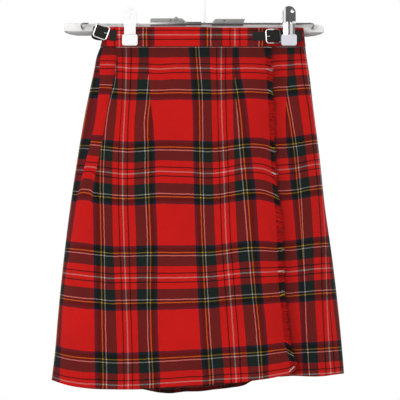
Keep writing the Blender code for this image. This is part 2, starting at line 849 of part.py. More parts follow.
def clip(side, x, front, back):
    """A sprung clip on the rod: two steel jaws, a coil between them and a plastic pad on each."""
    cutter = jaw_cutter(f"clip_{side}_cutter", x)
    for face, reach, sign in (("front", front, -1), ("back", back, 1)):

        def spread(height, foot=reach + PAD_THICK / 2, turn=sign):
            if height >= 0:
                return turn * (JAW_WAIST + (JAW_OPEN - JAW_WAIST) * height / JAW_TOP)
            return turn * (JAW_WAIST + (foot - JAW_WAIST) * height / JAW_FOOT)

        plate = jaw(f"clip_{side}_{face}_jaw", x, spread)
        cut = plate.modifiers.new("hole", "BOOLEAN")
        cut.operation = "DIFFERENCE"
        cut.object = cutter
        middle = PAD_TOP - PAD_HEIGHT / 2
        outline = [(x + a, middle + up) for a, up in rounded_frame(PAD_WIDTH, PAD_HEIGHT, PAD_CORNER)]
        near, far = sorted((sign * reach, sign * (reach + PAD_THICK)))
        prism(f"clip_{side}_{face}_pad", outline, near, far, "white pad plastic", smooth=True)
    coil = JAW_WAIST - JAW_THICK / 2 - SEAM
    ring(f"clip_{side}_spring", x, 15.0, ROD_RADIUS + SEAM, coil, "bright chrome")


def main():
    clear_scene()
    fringe(over_apron())
    under_apron()
    back_pleats()
    waistbands()
    right_fastening()
    left_fastening()
    hanger_bar()
    hanger_plates()
    hanger_rod()
    hanger_hook()
    for side, (x, front, back) in CLIPS.items():
        clip(side, x, front, back)


main()
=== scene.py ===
"""A tartan wrap kilt on a clip hanger: its cloth, leather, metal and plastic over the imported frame.

Lengths in the tables are millimetres, or chart marks of 1.7 mm: a mark's x runs to the right and its y
down, and the waistband's top edge is at y 26.3. A drop is a distance below that edge. The cloth follows
one closed loop at each height: station 0 is the right fold, 1 the left fold, and 1 to 2 lie behind.
"""

import math

import bmesh
import bpy
import numpy as np
from bpy.props import FloatProperty, FloatVectorProperty, IntProperty, PointerProperty
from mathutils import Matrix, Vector


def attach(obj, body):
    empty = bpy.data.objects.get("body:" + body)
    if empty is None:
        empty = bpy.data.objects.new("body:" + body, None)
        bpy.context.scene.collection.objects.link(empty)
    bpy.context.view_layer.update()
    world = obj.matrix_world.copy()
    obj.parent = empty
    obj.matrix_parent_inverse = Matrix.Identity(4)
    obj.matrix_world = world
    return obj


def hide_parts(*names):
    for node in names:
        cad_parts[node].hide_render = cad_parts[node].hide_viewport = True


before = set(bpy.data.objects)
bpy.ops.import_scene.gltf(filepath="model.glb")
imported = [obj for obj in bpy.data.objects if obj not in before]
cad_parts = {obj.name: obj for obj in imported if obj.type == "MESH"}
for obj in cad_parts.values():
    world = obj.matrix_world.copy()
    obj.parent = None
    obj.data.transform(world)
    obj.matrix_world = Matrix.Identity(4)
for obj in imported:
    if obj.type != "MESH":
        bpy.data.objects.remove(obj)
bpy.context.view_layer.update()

bl_info = {
    "name": "Tartan wrap kilt",
    "version": (1, 0, 0),
    "blender": (4, 5, 0),
    "location": "3D View > Sidebar > Kilt",
    "description": "Cloth, leather and metal of a wrap kilt on a clip hanger",
    "category": "Add Mesh",
}


MM = 0.001

# The chart: a mark's size in mm, the x at the frame's middle, the y at the waistband's top, one tartan repeat
# in marks, and the x and y that the camera looks at. KILT_FRONT is the cloth's front, in metres before y 0.
MARK = 1.7
MARK_X = 197.6
MARK_TOP = 26.3
SETT = 105.5
CHART_MIDDLE = 200.0
KILT_FRONT = 0.03

# The hanging loop, in mm. BACK_SEAM is how far past each fold the seams behind lie, in stations, and
# UNDER_END the under-apron's last station. LAYER is how deep the under-apron lies below the over-apron, and
# LENS the share of its depth that the loop loses toward its sides.
WAIST_Z = -91.0
BAND_HEIGHT = 34.0
PANEL_TOP = 34.3
SEAM = 0.3
HEM = 606.0
LOWEST = 640.0
BACK_SEAM = 0.055
UNDER_END = 0.9
COVERED_STATION = 20.0
COVERED_CREASES = 4.0
LAYER = 2.8
LENS = 0.15
BAND = 2.4
PINCH_FRONT = 4.3
PINCH_BACK = 4.2
PINCH_REACH = 26.0
PINCH_FADE = 60.0
FREE_EDGE_CURL = 14.0

# The under-apron comes level this far beyond the free edge: from, then over how much on the band and below it
UNDER_FROM = 10.0
UNDER_OVER_BAND = 20.0
UNDER_OVER_PANEL = 35.0

# The waistbands sag at the top, and painted shade darkens them toward the right, where the strap and clip sit
# on them. Here and below, an onset is where a change starts and over how much it sets in. BAND_WEFT is the y
# of a white pivot on them, the other pivots are x of white pivots, and BAND_EASE is how far the over-apron's
# stripes are drawn out there.
BAND_SAG = 1.2
BAND_SAG_ONSET = (0.0, 40.0)
BAND_SAG_DEPTH = 5.0
BAND_SHADE = 0.27
BAND_SHADE_ONSET = (106.0, 14.0)
BAND_PUFF = 0.09
BAND_PUFF_LENGTH = 5.3
OVER_BAND_COLUMNS = 190
UNDER_BAND_COLUMNS = 200
BACK_BAND_COLUMNS = 170
MEASURED_POINTS = 200
BAND_START = 1.6
BAND_EASE = 1.1
OVER_BAND_PIVOT = 235.0
UNDER_BAND_PIVOT = 266.0
UNDER_BAND_WARP = 71.0
BAND_WEFT = 34.3

# Columns of cells between one guide and the next, and rows down each panel
OVER_COLUMNS = (20, 8, 16, 20, 44, 8, 16, 10, 6, 6, 26, 14, 14)
STRIP = 10
UNDER_COLUMNS = (12, 14, 10, 10, 6, 42, 58)
OVER_ROWS = 131
UNDER_ROWS = 121
PLEAT_ROWS = 91
SETTLING = 3

# Knife pleats, in mm but for the tuck, which is a share of the face, and the crown, a share of the step
PLEATS = 18
PLEAT_TUCK = 0.55
PLEAT_STEP = 1.3
PLEAT_CLEAR = 1.4
PLEAT_LIP = 0.15
PLEAT_LIP_WARP = 0.6
PLEAT_CROWN = 0.10
PLEAT_FACE_CELLS = 7
PLEAT_SWAY = 0.45
PLEAT_SWAY_TURN = 2.4
PLEAT_SWAY_LENGTH = 130.0
PLEAT_SWAY_ONSET = (150.0, 300.0)

# Painted shade on the cloth: how much darker, and over how many mm. The over-apron's painted shadow deepens
# down the free edge and ends beyond it, and the fringe's tips leave a waving line of painted shadow. INSIDE
# and
# PLEATS_INSIDE are the painted shade of the cloth's inner faces, and the pleats get painted shade by each
# fold and a painted highlight toward each folded edge.
INSIDE = 0.6
BAND_SHADOW = (0.13, 17.0)
EDGE_SHADOW = (0.07, 24.0)
COVER_DARK = 0.14
COVER_MORE = 0.10
COVER_MORE_ONSET = (330.0, 120.0)
COVER_END = (8.0, 30.0)
TIPS_DARK = 0.20
TIPS_AWAY = 9.5
TIPS_WIDTH = 2.6
TIPS_WAVES = ((4.1, 0.0, 1.6), (6.7, 1.0, 1.2))
PLEAT_DARK = 0.45
PLEAT_DARK_REACH = 0.12
PLEAT_HIGHLIGHT = 0.08
PLEAT_HIGHLIGHT_ONSET = (0.88, 0.1)
PLEAT_FOLD_SHADES = (0.9, 0.6, 0.4, 0.4)
PLEATS_INSIDE = (0.62, 0.50)

# Leather, in mm. STRAP_ROUND is the rounding of its edges as a share of the thickness, and STRIP_TUCKS how
# its ends are tucked in: how far in and how thick, as such shares. STITCH_GAP is a share of the pitch.
TAB_THICK = 1.6
STRAP_THICK = 1.8
STRAP_HEIGHT = 18.2
STRAP_ROUND = 0.45
STRIP_TUCKS = ((0.0, 0.3), (0.18, 0.545))
TUCKED_HEIGHT = 0.96
STITCH_INSET = 1.7
STITCH_THREAD = 0.5
STITCH_GAP = 0.2
RIGHT_DROP = 16.0
LEFT_DROP = 15.0
STRAP_LIFT = 1.2
STRAP_LIFT_ONSET = (169.0, 7.0)

# Leather along the band: x of both ends, points between them, drop of the middle line, height and thickness
BAND_LEATHER = {
    "tab_right": ((115.0, 93.5), 9, RIGHT_DROP, 15.0, TAB_THICK),
    "strap_right": ((177.5, 118.6), 40, RIGHT_DROP, STRAP_HEIGHT, STRAP_THICK),
    "tab_left": ((-138.4, -150.6), 7, LEFT_DROP, 17.5, TAB_THICK),
}

# The left strap, in mm: its straight run, which starts in front of the tab, its turn beyond the side fold and
# its way back behind the band
LEFT_PROUD = 0.6
LEFT_LEAN = math.radians(20)
LEFT_START = (-154.3, WAIST_Z - 11.7)
LEFT_STEP = 3.1
LEFT_STEPS = 7
LEFT_TURN_REACH = 6.0
LEFT_TURN_FALL = 8.0
LEFT_TURN_POINTS = 12
LEFT_BACK_X = (-152, -147, -141, -134)
LEFT_BACK_DROP = 14.0
LEFT_BACK_GAP = 0.2
LEFT_BACK_END = WAIST_Z - 17

# Clips: x of the middle, and the height of the rod that they hang on
CLIPS = {"left": -115.5, "right": 156.0}
ROD_Z = -85.0

# Ridges pressed along each clip's jaw: place across it, and height at the top and at the rod
JAW_RIDGES = (
    (-12, -0.9, -0.9),
    (-9.8, -0.9, -0.9),
    (-6.1, 0.9, 0.6),
    (-2.7, 0.9, 2.0),
    (1.9, 0.9, 2.0),
    (5.8, 0.9, 0.2),
    (12, 0.9, 0.2),
)
RIDGE_TOP = 3.0
RIDGE_HALF = 0.4
JAW_CUTS = (27.0, 23.0, 18.0, 4.2, RIDGE_TOP, 0.0, -1.2, -3.0)

# Chart places of the dark rivets on the plates, and of the tongue above the left one
RIVETS = ((156.4, 21.4), (170.5, 19.2), (183.2, 21.8), (224.5, 19.5), (236.6, 21.8))
RIVET_RADIUS = 1.5
TONGUE = (176.0, 17.6)
TONGUE_RADIUS = 3.4
DOME_RISE = 0.4
PLATE_FACE = 9.7

# How far each solid's corners are rounded over, in mm
EASED = {"collar": 0.4, "bar": 0.5, "plate": 0.8, "jaw": 0.35, "pad": 0.9}

# Degrees past which an edge is shaded sharp, past which a solid's edge is rounded over, and within which its
# faces count as one flat face
SHARP = {"cloth": 50, "leather": 50, "band": 60, "solid": 35, "ridges": 9}
ROUNDED_PAST = 40
FLAT_WITHIN = 3

# Noise of the finishes: how many to a metre, and how finely broken up
GRAINS = {
    "wander": (90, 2),
    "fuzz": (850, 3),
    "cloud": (14, 4),
    "rub": (160, 5),
    "wear": (220, 6),
    "mottle": (300, 4),
}
PORES = 1400

# The weave: how far its stripes wander, in metres, the weft's share of the colour on one half of the twill
# and how much more on the other, and how far the colour is pulled toward the darker dye, as painted shade of
# the weave's own shadowing. A light is its least and how much more.
WANDER = 0.0012
TWILL_HALF = 0.49
WEFT_SHARE = (0.36, 0.30)
WEAVE_SHADE_SHARE = 0.10
FUZZ_LIGHT = (0.80, 0.26)
CLOUD_LIGHT = (0.93, 0.14)

# Places along x, in metres, where a finish changes: where the rod's painted white reflection sets in, its tip
# without it, where the right buckle's end takes its painted shade, and half the bar's middle with its painted
# highlight
ROD_REFLECTION = (-0.085, -0.018)
ROD_TIP = -0.186
BUCKLE_SHADE = (0.128, 0.132)
BAR_LIT_MIDDLE = 0.15

# drop, left fold x, right fold x, front depth, back depth, width of each rounded side
OUTLINE = (
    (0, -158.5, 179.5, 9, 8, 9),
    (34, -165.3, 183.4, 10, 9, 10),
    (47, -170.6, 185.0, 11.5, 10.2, 12),
    (74, -176.2, 189.2, 15, 13, 17),
    (142, -190.5, 197.5, 22, 19, 30),
    (224, -204.5, 208, 28, 25, 42),
    (304, -216.5, 216.5, 33, 30, 52),
    (400, -228.5, 230, 38, 35, 63),
    (500, -238.5, 241.5, 42, 39, 73),
    (560, -243.6, 247, 43.8, 40.8, 77),
    (603, -248.9, 250.5, 45, 42, 80),
    (625, -251.6, 252.5, 46, 43, 82),
)

# x, drop of the hem
FRONT_HEM = (
    (-247, 603),
    (-225, 609.4),
    (-191, 614.8),
    (-145, 616.8),
    (-94, 616.5),
    (-38, 613),
    (18, 610),
    (58, 606.5),
    (98, 601.5),
    (123, 598),
    (154, 591),
)
UNDER_HEM = (
    (-247, 600),
    (-100, 609),
    (0, 604),
    (100, 596),
    (154, 594),
    (217, 594.5),
    (234, 592.5),
    (252, 591),
)
BACK_HEM = (
    (-249, 603),
    (-200, 612),
    (-120, 617),
    (-94, 620),
    (-64, 626.2),
    (-48, 627.4),
    (-23, 624.6),
    (11, 623.4),
    (20, 622),
    (58, 617.5),
    (81, 613),
    (94, 605.5),
    (150, 598.2),
    (217, 595),
    (252, 591),
)

# drop, x of the over-apron's free edge, how far that edge stands off
FREE_EDGE = (
    (34, 113, 0),
    (57, 115.4, 0.3),
    (100, 118.5, 0.8),
    (197, 123, 1.0),
    (275, 127.8, 0.8),
    (316, 132.3, 0.8),
    (375, 135, 1.0),
    (441, 137.7, 0.8),
    (465, 140.4, 1.0),
    (499, 144, 1.5),
    (533, 147.4, 3.0),
    (550, 150.3, 5.0),
    (562, 154.2, 7.0),
    (574, 156, 8.0),
    (592, 154.5, 8.0),
)

# Soft folds of the front: top x, top drop, bottom x, bottom drop, half width, depth
TROUGHS = (
    (-84, 40, -76, 190, 11, 1.3),
    (64, 40, 66, 108, 11, 1.2),
    (-138, 40, -136, 96, 11, 1.2),
    (152, 40, 150, 190, 11, 1.2),
    (-33, 300, -64, 368, 19, 1.5),
    (-37, 478, -60, 560, 19, 1.5),
    (2, 290, -6, 372, 17, 1.4),
    (102, 300, 113, 566, 17, 1.3),
    (-222, 300, -232, 600, 18, 1.2),
)

# Chart heights at which the warp guides are given
GUIDE_ROWS = (47, 60, 70, 80, 100, 120, 150, 190, 240, 290, 340, 376)

# Warp guides from the free edge to the left fold: x at each height, then the cloth's warp coordinate in marks
# from a white pivot. A second coordinate is the one on the guide's left, where a tuck or dart takes cloth in.
# The last number of a short list holds for the heights below.
OVER_GUIDES = (
    ("red border", (238.6, 239.4, 240.2, 241.8, 245.9, 248.5, 251, 255.4, 258.8, 262.3, 267.3, 268.6), 137.6),
    (
        "second dart",
        (235.4, 235.0, 234.8, 234.9, 235.7, 237.3, 239.2, 242.6, 246.7, 251.2, 256.1, 258.8),
        (134.9, 133.4, 132.4, 130.2, 127.6, 126.9, 126.8, 126.7),
        (119.6, 119.6, 119.5, 119.2, 119.6, 121, 122.3, 125, 126.5, 126.7),
    ),
    ("right pivot", (221.4, 221.3, 221.2, 221.2, 221.4, 221.9, 223.2, 224.4, 226.2, 229.9, 233.6, 236), SETT),
    (
        "middle white",
        (198.8, 199.7, 200.6, 201.4, 202.5, 202.8, 202.8, 203.4, 205, 207.6, 210.6, 213.1),
        83.6,
    ),
    (
        "first dart",
        (148.4, 148.4, 148.4, 148.7, 150.4, 152.8, 154.9, 155.4, 157.6, 157.5, 158.3, 160.2),
        32.1,
        (20.6, 20.8, 21.2, 22.8, 25.9, 29.8, 32.1),
    ),
    (
        "first white",
        (147.0, 147.0, 147.2, 147.8, 146.5, 144.3, 144.9, 145.4, 147.4, 147.3, 148, 149.9),
        (19.3, 19.6, 20.2, 21.9),
    ),
    ("left pivot", (125.9, 125.9, 125.8, 125.7, 125, 124, 122.8, 122.6, 124, 125.9, 127.8, 128.3), 0),
    (
        "left green",
        (117.9, 117.9, 117.8, 117.7, 117.2, 115.8, 112.9, 112.5, 113.2, 115.4, 117, 118.2),
        (-8.4, -11.2),
    ),
    (
        "left white",
        (117.1, 117.1, 115.9, 115.4, 110.4, 106.8, 104.3, 103.4, 104.5, 104.9, 106.1, 106.9),
        (-9.3, -13, -21.9),
    ),
    (
        "first tuck",
        (116.4, 116.3, 115, 113.2, 109, 105.4, 100.4, 93, 93.6, 94.2, 94.8, 95.4),
        (-10, -14.5, -22.9, -24.1, -23.4, -23.4, -25.9, -32.1),
        -32.1,
    ),
    (
        "second tuck",
        (102.3, 99.6, 99.2, 99.5, 97.3, 95, 88.2, 78.6, 70.5, 63.2, 60.3, 59.4),
        (-46, -48, -48, -46, -44, -43, -44.5, -47, -55, -63, -66.5, -68),
        -73.4,
    ),
)
FOLD_WARP = (-77, -80.5, -82, -82.6, -82.6, -82.5, -82.3, -82, -81.6, -80.6)
EDGE_WARP = 157.0

# Warp guides of the under-apron, as above, from the right fold on
UNDER_GUIDES = (
    ("side pivot", (304, 306.3, 307.4, 308.6, 311.6, 314.4, 318, 322.3, 325.8, 326.8, 328.7, 331), 0),
    ("side green", (295.2, 294.9, 295.6, 296.7, 299.3, 302, 306, 310.3, 313.5, 314.6, 317.2, 318.6), -11.2),
    (
        "third white",
        (288.6, 288.6, 288.6, 288.6, 288.4, 292, 296.4, 300.2, 302.6, 304.3, 306.3, 309),
        (-17.7, -17.4, -18.3, -19.5, -22.5),
        (-17.7, -17.4, -18.3, -19.5, -22.5, -22.5, -22.5, -22.5, -24, -26),
    ),
    (
        "third dart",
        (287.6, 287.6, 287.6, 287.6, 286.6, 285.8, 287.2, 291.3, 296, 298.5, 301.3, 302.9),
        (-18.7, -18.4, -19.3, -20.5, -24.4, -29.5, -32.1),
        -32.1,
    ),
)
SIDE_WARP = (4.4, 4, 4.4, 4.5, 2.5, 1.2, 1, 1.6, 32, 30, 22)
SEAM_WARP = (4.4, 4, 4.4, 5, 5.8, 5.9, 6.7, 7.6, 11, 17.4, 20.5, 22)
BACK_WARP = 11.0

# Weft lines that cross each panel: x, then y of its four white pivots
OVER_WEFT = (
    (52, 65.8, 169.2, 272.4, 377.6),
    (65, 65.9, 169.4, 273.3, 380.9),
    (75, 66.0, 169.7, 274.0, 382.4),
    (85, 66.1, 170.2, 275.1, 383.5),
    (92, 66.2, 170.7, 276.1, 383.7),
    (100, 66.3, 171.4, 277.1, 383.9),
    (112, 66.4, 172.8, 278.3, 384.8),
    (120, 66.9, 173.8, 277.9, 385.0),
    (132, 67.9, 173.9, 277.8, 384.8),
    (142, 67.9, 173.1, 277.5, 384.3),
    (160, 68.8, 171.3, 277.6, 383.1),
    (175, 67.8, 171.8, 277.6, 382.1),
    (190, 68.0, 172.3, 277.3, 380.9),
    (208, 68.0, 173.5, 276.8, 380.0),
    (217, 68.5, 173.1, 276.0, 379.0),
    (232, 68.3, 170.7, 274.1, 378.3),
    (245, 67.9, 168.3, 272.9, 377.7),
    (255, 68.1, 167.9, 272.3, 377.1),
    (262, 68.6, 168.5, 272.2, 376.6),
    (268, 68.5, 170.4, 272.0, 375.6),
    (274, 68.4, 173.4, 271.7, 374.6),
    (281, 68.3, 175.0, 271.3, 373.4),
    (290, 68.3, 175.0, 271.0, 371.2),
)
UNDER_WEFT = (
    (250, 68.5, 170.0, 271.5, 374.4),
    (264, 68.5, 169.9, 271.2, 374.2),
    (270, 67.3, 169.9, 270.9, 374.0),
    (277, 65.4, 169.8, 270.9, 374.0),
    (290, 64.6, 169.0, 271.7, 374.3),
    (297, 63.8, 168.1, 270.9, 374.2),
    (305, 63.7, 166.1, 270.0, 374.0),
    (315, 63.7, 164.3, 268.9, 373.8),
    (325, 63.7, 163.4, 268.4, 373.3),
    (344, 63.7, 162.0, 267.6, 372.2),
)
OVER_TOP_WEFT = -22.15
UNDER_TOP_WEFT = -19.0
BACK_HEM_WEFT = 4.5
BEYOND = 30.0

# y, how many marks the strip between the two tucks rides up. It rides up whole at the top and bends below
STRIP_RISE = (
    (47, 1.5),
    (64, 2.2),
    (84, 3.7),
    (145, 4.1),
    (171, 3.6),
    (190, 2.6),
    (220, 1.0),
    (250, 0),
    (400, 0),
)
STRIP_BEND_ONSET = (160.0, 25.0)

# Creases along the guides' lines: guide, y where it ends, half width and depth in mm, lip on its left
CREASES = (
    ("second dart", 100, 2.6, 1.1, 0.3),
    ("first dart", 122, 2.6, 1.1, 0.3),
    ("first tuck", 182, 2.4, 1.2, 0.7),
    ("second tuck", 190, 2.6, 1.0, -0.3),
)
THIRD_DART_END = 104.0
THIRD_DART_WIDTH = 2.6
CREASE_FADE = 60.0
LIP_AWAY = 5.5
LIP_WIDTH = 4.0

# Slow waves of the front: their length across and down in mm, phase and share, and the depth of them all
WAVES = ((17, 210, 0.6, 1.0), (29, -160, 2.1, 0.7), (11, 95, 0.0, 0.5))
WAVE_DEPTH = 0.22
WAVES_ONSET = (60.0, 260.0)
TROUGH_END = 0.15

# drop, how far the fringe's strands slant down for each mm out, and their length against the others'
FRINGE_SLANT = (
    (34, 0.15, 1.15),
    (105, 0.4, 1.0),
    (176, 0.3, 0.85),
    (240, 0.5, 0.85),
    (280, 0.7, 0.95),
    (330, 0.3, 1.0),
    (385, 0.02, 1.0),
    (430, -0.05, 0.95),
    (455, -0.3, 0.8),
    (500, 0.2, 0.9),
    (530, 0.3, 1.0),
    (546, 1.0, 1.25),
    (560, 0.8, 1.25),
    (570, 0.2, 1.1),
    (580, -0.5, 1.15),
    (592, -0.95, 1.3),
)

# Half the sett, in marks from the white pivot: where each stripe ends, and its dye
STRIPES = (
    (0.5, "white"),
    (3.9, "red"),
    (5.1, "black"),
    (11.2, "red"),
    (20.6, "green"),
    (21.35, "black"),
    (22.45, "white"),
    (24.4, "black"),
    (25.5, "yellow"),
    (29.5, "black"),
    (32.1, "navy"),
    (52.75, "red"),
)


# Strands of the fringe, one unit long: their middle and their tip
STRAND_BENDS = (
    ((0.5, 0.02, 0.05), (1.0, -0.05, 0.02)),
    ((0.5, -0.12, 0.10), (0.95, 0.10, -0.06)),
    ((0.45, 0.14, 0.16), (0.82, 0.16, 0.16)),
    ((0.55, -0.06, 0.02), (1.08, -0.16, 0.10)),
)
STRAND_TURN = (0.9, 0.16, 0.20)
STRAND_LENGTHS = (0.78, 1.10)
STRAND_SHADES = (0.8, 1.25)
STRAND_SUNK = 0.3
STRAND_SPREAD = 0.45
FRINGE_SEED = 3
PLACING_SEED = 7


# Sizes and colours that can be changed


class KiltSizes(bpy.types.PropertyGroup):
    cloth: FloatProperty(
        name="Cloth", description="Thickness of the apron cloth", default=0.0011, unit="LENGTH"
    )
    pleat_cloth: FloatProperty(
        name="Pleat cloth", description="Thickness of the pleated cloth", default=0.0009, unit="LENGTH"
    )
    sett: FloatProperty(
        name="Sett", description="Width of one tartan repeat", default=SETT * MARK * MM, unit="LENGTH"
    )
    thread: FloatProperty(
        name="Thread", description="Pitch of the weave's threads", default=0.0006, unit="LENGTH"
    )
    strand_length: FloatProperty(
        name="Fringe length", description="Length of the fringe's strands", default=0.0112, unit="LENGTH"
    )
    strand_radius: FloatProperty(
        name="Strand radius", description="Radius of one fringe strand", default=0.00026, unit="LENGTH"
    )
    strands: IntProperty(name="Strands", description="Strands in the fringe", default=1900, min=100, max=4000)
    stitch: FloatProperty(name="Stitch", description="Length of one stitch", default=0.0024, unit="LENGTH")


class KiltColours(bpy.types.PropertyGroup):
    red: FloatVectorProperty(
        name="Red", description="Scarlet dye", default=(0.80, 0.088, 0.072), subtype="COLOR_GAMMA"
    )
    green: FloatVectorProperty(
        name="Green", description="Bottle green dye", default=(0.085, 0.135, 0.125), subtype="COLOR_GAMMA"
    )
    black: FloatVectorProperty(
        name="Black", description="Black dye", default=(0.045, 0.040, 0.035), subtype="COLOR_GAMMA"
    )
    navy: FloatVectorProperty(
        name="Navy", description="Navy dye", default=(0.09, 0.10, 0.19), subtype="COLOR_GAMMA"
    )
    white: FloatVectorProperty(
        name="White", description="Undyed wool", default=(0.80, 0.77, 0.74), subtype="COLOR_GAMMA"
    )
    yellow: FloatVectorProperty(
        name="Yellow", description="Yellow dye", default=(0.76, 0.60, 0.16), subtype="COLOR_GAMMA"
    )
    leather: FloatVectorProperty(
        name="Leather", description="Black leather", default=(0.010, 0.0095, 0.0085), subtype="COLOR"
    )
    chrome: FloatVectorProperty(
        name="Chrome", description="Bright chrome", default=(1.0, 1.0, 0.99), subtype="COLOR"
    )
    bar: FloatVectorProperty(
        name="Bar", description="Pale grey of the hanger's bar", default=(0.86, 0.845, 0.835), subtype="COLOR"
    )
    plate: FloatVectorProperty(
        name="Plates", description="Grey of the hanger's plates", default=(0.36, 0.35, 0.33), subtype="COLOR"
    )
    pad: FloatVectorProperty(
        name="Pads", description="White of the clips' pads", default=(0.70, 0.69, 0.76), subtype="COLOR"
    )


class StageSettings(bpy.types.PropertyGroup):
    camera_distance: FloatProperty(
        name="Camera distance", description="How far the camera stands off", default=7.0, unit="LENGTH"
    )
    view_width: FloatProperty(
        name="View width", description="Width that the camera takes in", default=0.68, unit="LENGTH"
    )
    key_power: FloatProperty(
        name="Key light", description="Power of the key light", default=33.0, unit="POWER"
    )
    fill_power: FloatProperty(
        name="Fill light", description="Power of the fill and back lights", default=12.0, unit="POWER"
    )
    front_level: FloatProperty(
        name="Front level", description="Brightness of the room behind the camera", default=0.12
    )


# The hanging loop of cloth


def smooth(table, at):
    """The table's other columns at these values of its first one, on smooth curves through its rows."""
    rows = np.asarray(table, float)
    keys, values = rows[:, 0], rows[:, 1:]
    at = np.clip(np.asarray(at, float), keys[0], keys[-1])
    slopes = np.gradient(values, keys, axis=0)
    i = np.clip(np.searchsorted(keys, at) - 1, 0, len(keys) - 2)
    span = (keys[i + 1] - keys[i])[..., None]
    t = (at - keys[i])[..., None] / span
    return (
        values[i] * (1 + 2 * t) * (1 - t) ** 2
        + slopes[i] * span * t * (1 - t) ** 2
        + values[i + 1] * t * t * (3 - 2 * t)
        + slopes[i + 1] * span * t * t * (t - 1)
    )


def onset(x, start, over):
    """0 up to the start, then smoothly to 1 over this length."""
    return ease((x - start) / over)


def ease(t):
    t = np.clip(t, 0.0, 1.0)
    return t * t * (3 - 2 * t)


class Form:
    """The cloth's loop at every drop, on a fine grid of drops and stations."""

    step = 2.0
    low, high, count = -0.3, 2.3, 1561
    side_points, flat_points = 17, 61

    def __init__(self):
        self.drops = np.arange(0, LOWEST + self.step, self.step)
        self.stations = np.linspace(self.low, self.high, self.count)
        self.point = np.zeros((len(self.drops), self.count, 2))
        self.lengths = np.zeros((len(self.drops), 2))
        for row, drop in enumerate(self.drops):
            xs, ys, run, front = self.loop(drop)
            turns, part = np.divmod(self.stations, 2.0)
            inside = np.where(part <= 1, part * front, front + (part - 1) * (run[-1] - front))
            at = (inside + turns * run[-1]) % run[-1]
            self.point[row, :, 0] = np.interp(at, run, xs)
            self.point[row, :, 1] = np.interp(at, run, ys)
            self.lengths[row] = front, run[-1] - front
        tangent = np.gradient(self.point, axis=1)
        tangent /= np.linalg.norm(tangent, axis=2, keepdims=True)
        self.normal = np.stack([-tangent[..., 1], tangent[..., 0]], axis=2)

    def loop(self, drop):
        """One closed loop from the right fold: x, y, the length run so far, and the front's length."""
        left, right, front, back, side = smooth(OUTLINE, drop)
        half = (right - left) / 2
        turn = np.linspace(0, math.pi / 2, self.side_points)
        rounded = half - side + side * np.sin(turn)
        flat = np.linspace(half - side, side - half, self.flat_points)[1:-1]
        across = np.concatenate([rounded[::-1], flat, -rounded])
        fall = np.concatenate([np.cos(turn[::-1]), np.ones(len(flat)), np.cos(turn)])
        x = across + (left + right) / 2
        lens = 1 - LENS * (across / half) ** 2
        fade = math.exp(-((max(drop - BAND_HEIGHT, 0) / PINCH_FADE) ** 2))
        pinches = sum(np.exp(-(((x - middle) / PINCH_REACH) ** 4)) for middle in CLIPS.values())
        hold = np.minimum(pinches, 1) * fade
        y_front = -(front * lens + (PINCH_FRONT - front * lens) * hold) * fall
        y_back = (back * lens + (PINCH_BACK - back * lens) * hold) * fall
        xs = np.concatenate([x, x[-2::-1]])
        ys = np.concatenate([y_front, y_back[-2::-1]])
        run = np.concatenate([[0], np.cumsum(np.hypot(np.diff(xs), np.diff(ys)))])
        return xs, ys, run, run[len(x) - 1]

    def sample(self, grid, station, drop):
        """The grid's values at these places, straight between its points."""
        row = np.clip(np.asarray(drop) / self.step, 0, len(self.drops) - 1.001)
        column = (np.asarray(station) - self.low) / (self.high - self.low) * (self.count - 1)
        column = np.clip(column, 0, self.count - 1.001)
        i, j = row.astype(int), column.astype(int)
        a, b = (row - i)[..., None], (column - j)[..., None]
        return (
            grid[i, j] * (1 - a) * (1 - b)
            + grid[i + 1, j] * a * (1 - b)
            + grid[i, j + 1] * (1 - a) * b
            + grid[i + 1, j + 1] * a * b
        )

    def x(self, station, drop):
        return self.sample(self.point, station, drop)[..., 0]

    def at(self, station, drop, out=0.0):
        """Points of the cloth's middle surface, moved out from it."""
        station, drop, out = np.broadcast_arrays(np.asarray(station, float), drop, out)
        moved = self.sample(self.normal, station, drop) * out[..., None]
        flat = self.sample(self.point, station, drop) + moved
        return np.concatenate([flat, (WAIST_Z - drop)[..., None]], axis=-1)

    def half(self, drop):
        """Lengths of the front and the back half."""
        return np.stack([np.interp(drop, self.drops, self.lengths[:, k]) for k in (0, 1)], axis=-1)

    def half_seam(self, drop):
        """Half a seam's gap behind, in stations."""
        return SEAM / 2 / float(self.half(drop)[1])

    def station_of(self, x, drop, back=False):
        """The station of the front or the back at this x, one drop for each x."""
        x, drop = np.broadcast_arrays(np.asarray(x, float), np.asarray(drop, float))
        found = np.empty(x.shape)
        first = 1 if back else 0
        stations = self.stations[(self.stations >= first) & (self.stations <= first + 1)]
        for n in np.ndindex(x.shape):
            xs = self.x(stations, np.full(len(stations), drop[n]))
            order = xs if back else -xs
            found[n] = np.interp(x[n] if back else -x[n], order, stations)
        return found


FORM = Form()


def mark_x(x):
    return (np.asarray(x, float) - MARK_X) * MARK


def mark_drop(y):
    return (np.asarray(y, float) - MARK_TOP) * MARK


def chart_x(x):
    return np.asarray(x, float) / MARK + MARK_X


def chart_y(drop):
    return np.asarray(drop, float) / MARK + MARK_TOP


def hump(x, middle, width):
    """A rounded hump, 1 at its middle and gone well beyond its width."""
    return np.exp(-(((x - middle) / width) ** 2))


def on_front(station, value):
    return np.where((station > 0) & (station < 1), value, 0.0)


def free_edge(drop):
    """The free edge's x and how far it stands off, at these drops."""
    return np.moveaxis(smooth(FREE_EDGE, drop), -1, 0)


def over_out(station, x, drop):
    """The free edge stands off a little, most at its bottom corner."""
    edge, stand = free_edge(drop)
    return on_front(station, stand * hump(edge, x, FREE_EDGE_CURL))


def under_out(station, x, drop):
    """The under-apron lies below the over-apron, and comes level with it beyond the free edge."""
    over = np.where(np.asarray(drop) <= BAND_HEIGHT, UNDER_OVER_BAND, UNDER_OVER_PANEL)
    sunk = -LAYER * (1 - onset(x, free_edge(drop)[0] + UNDER_FROM, over))
    return on_front(station, sunk)


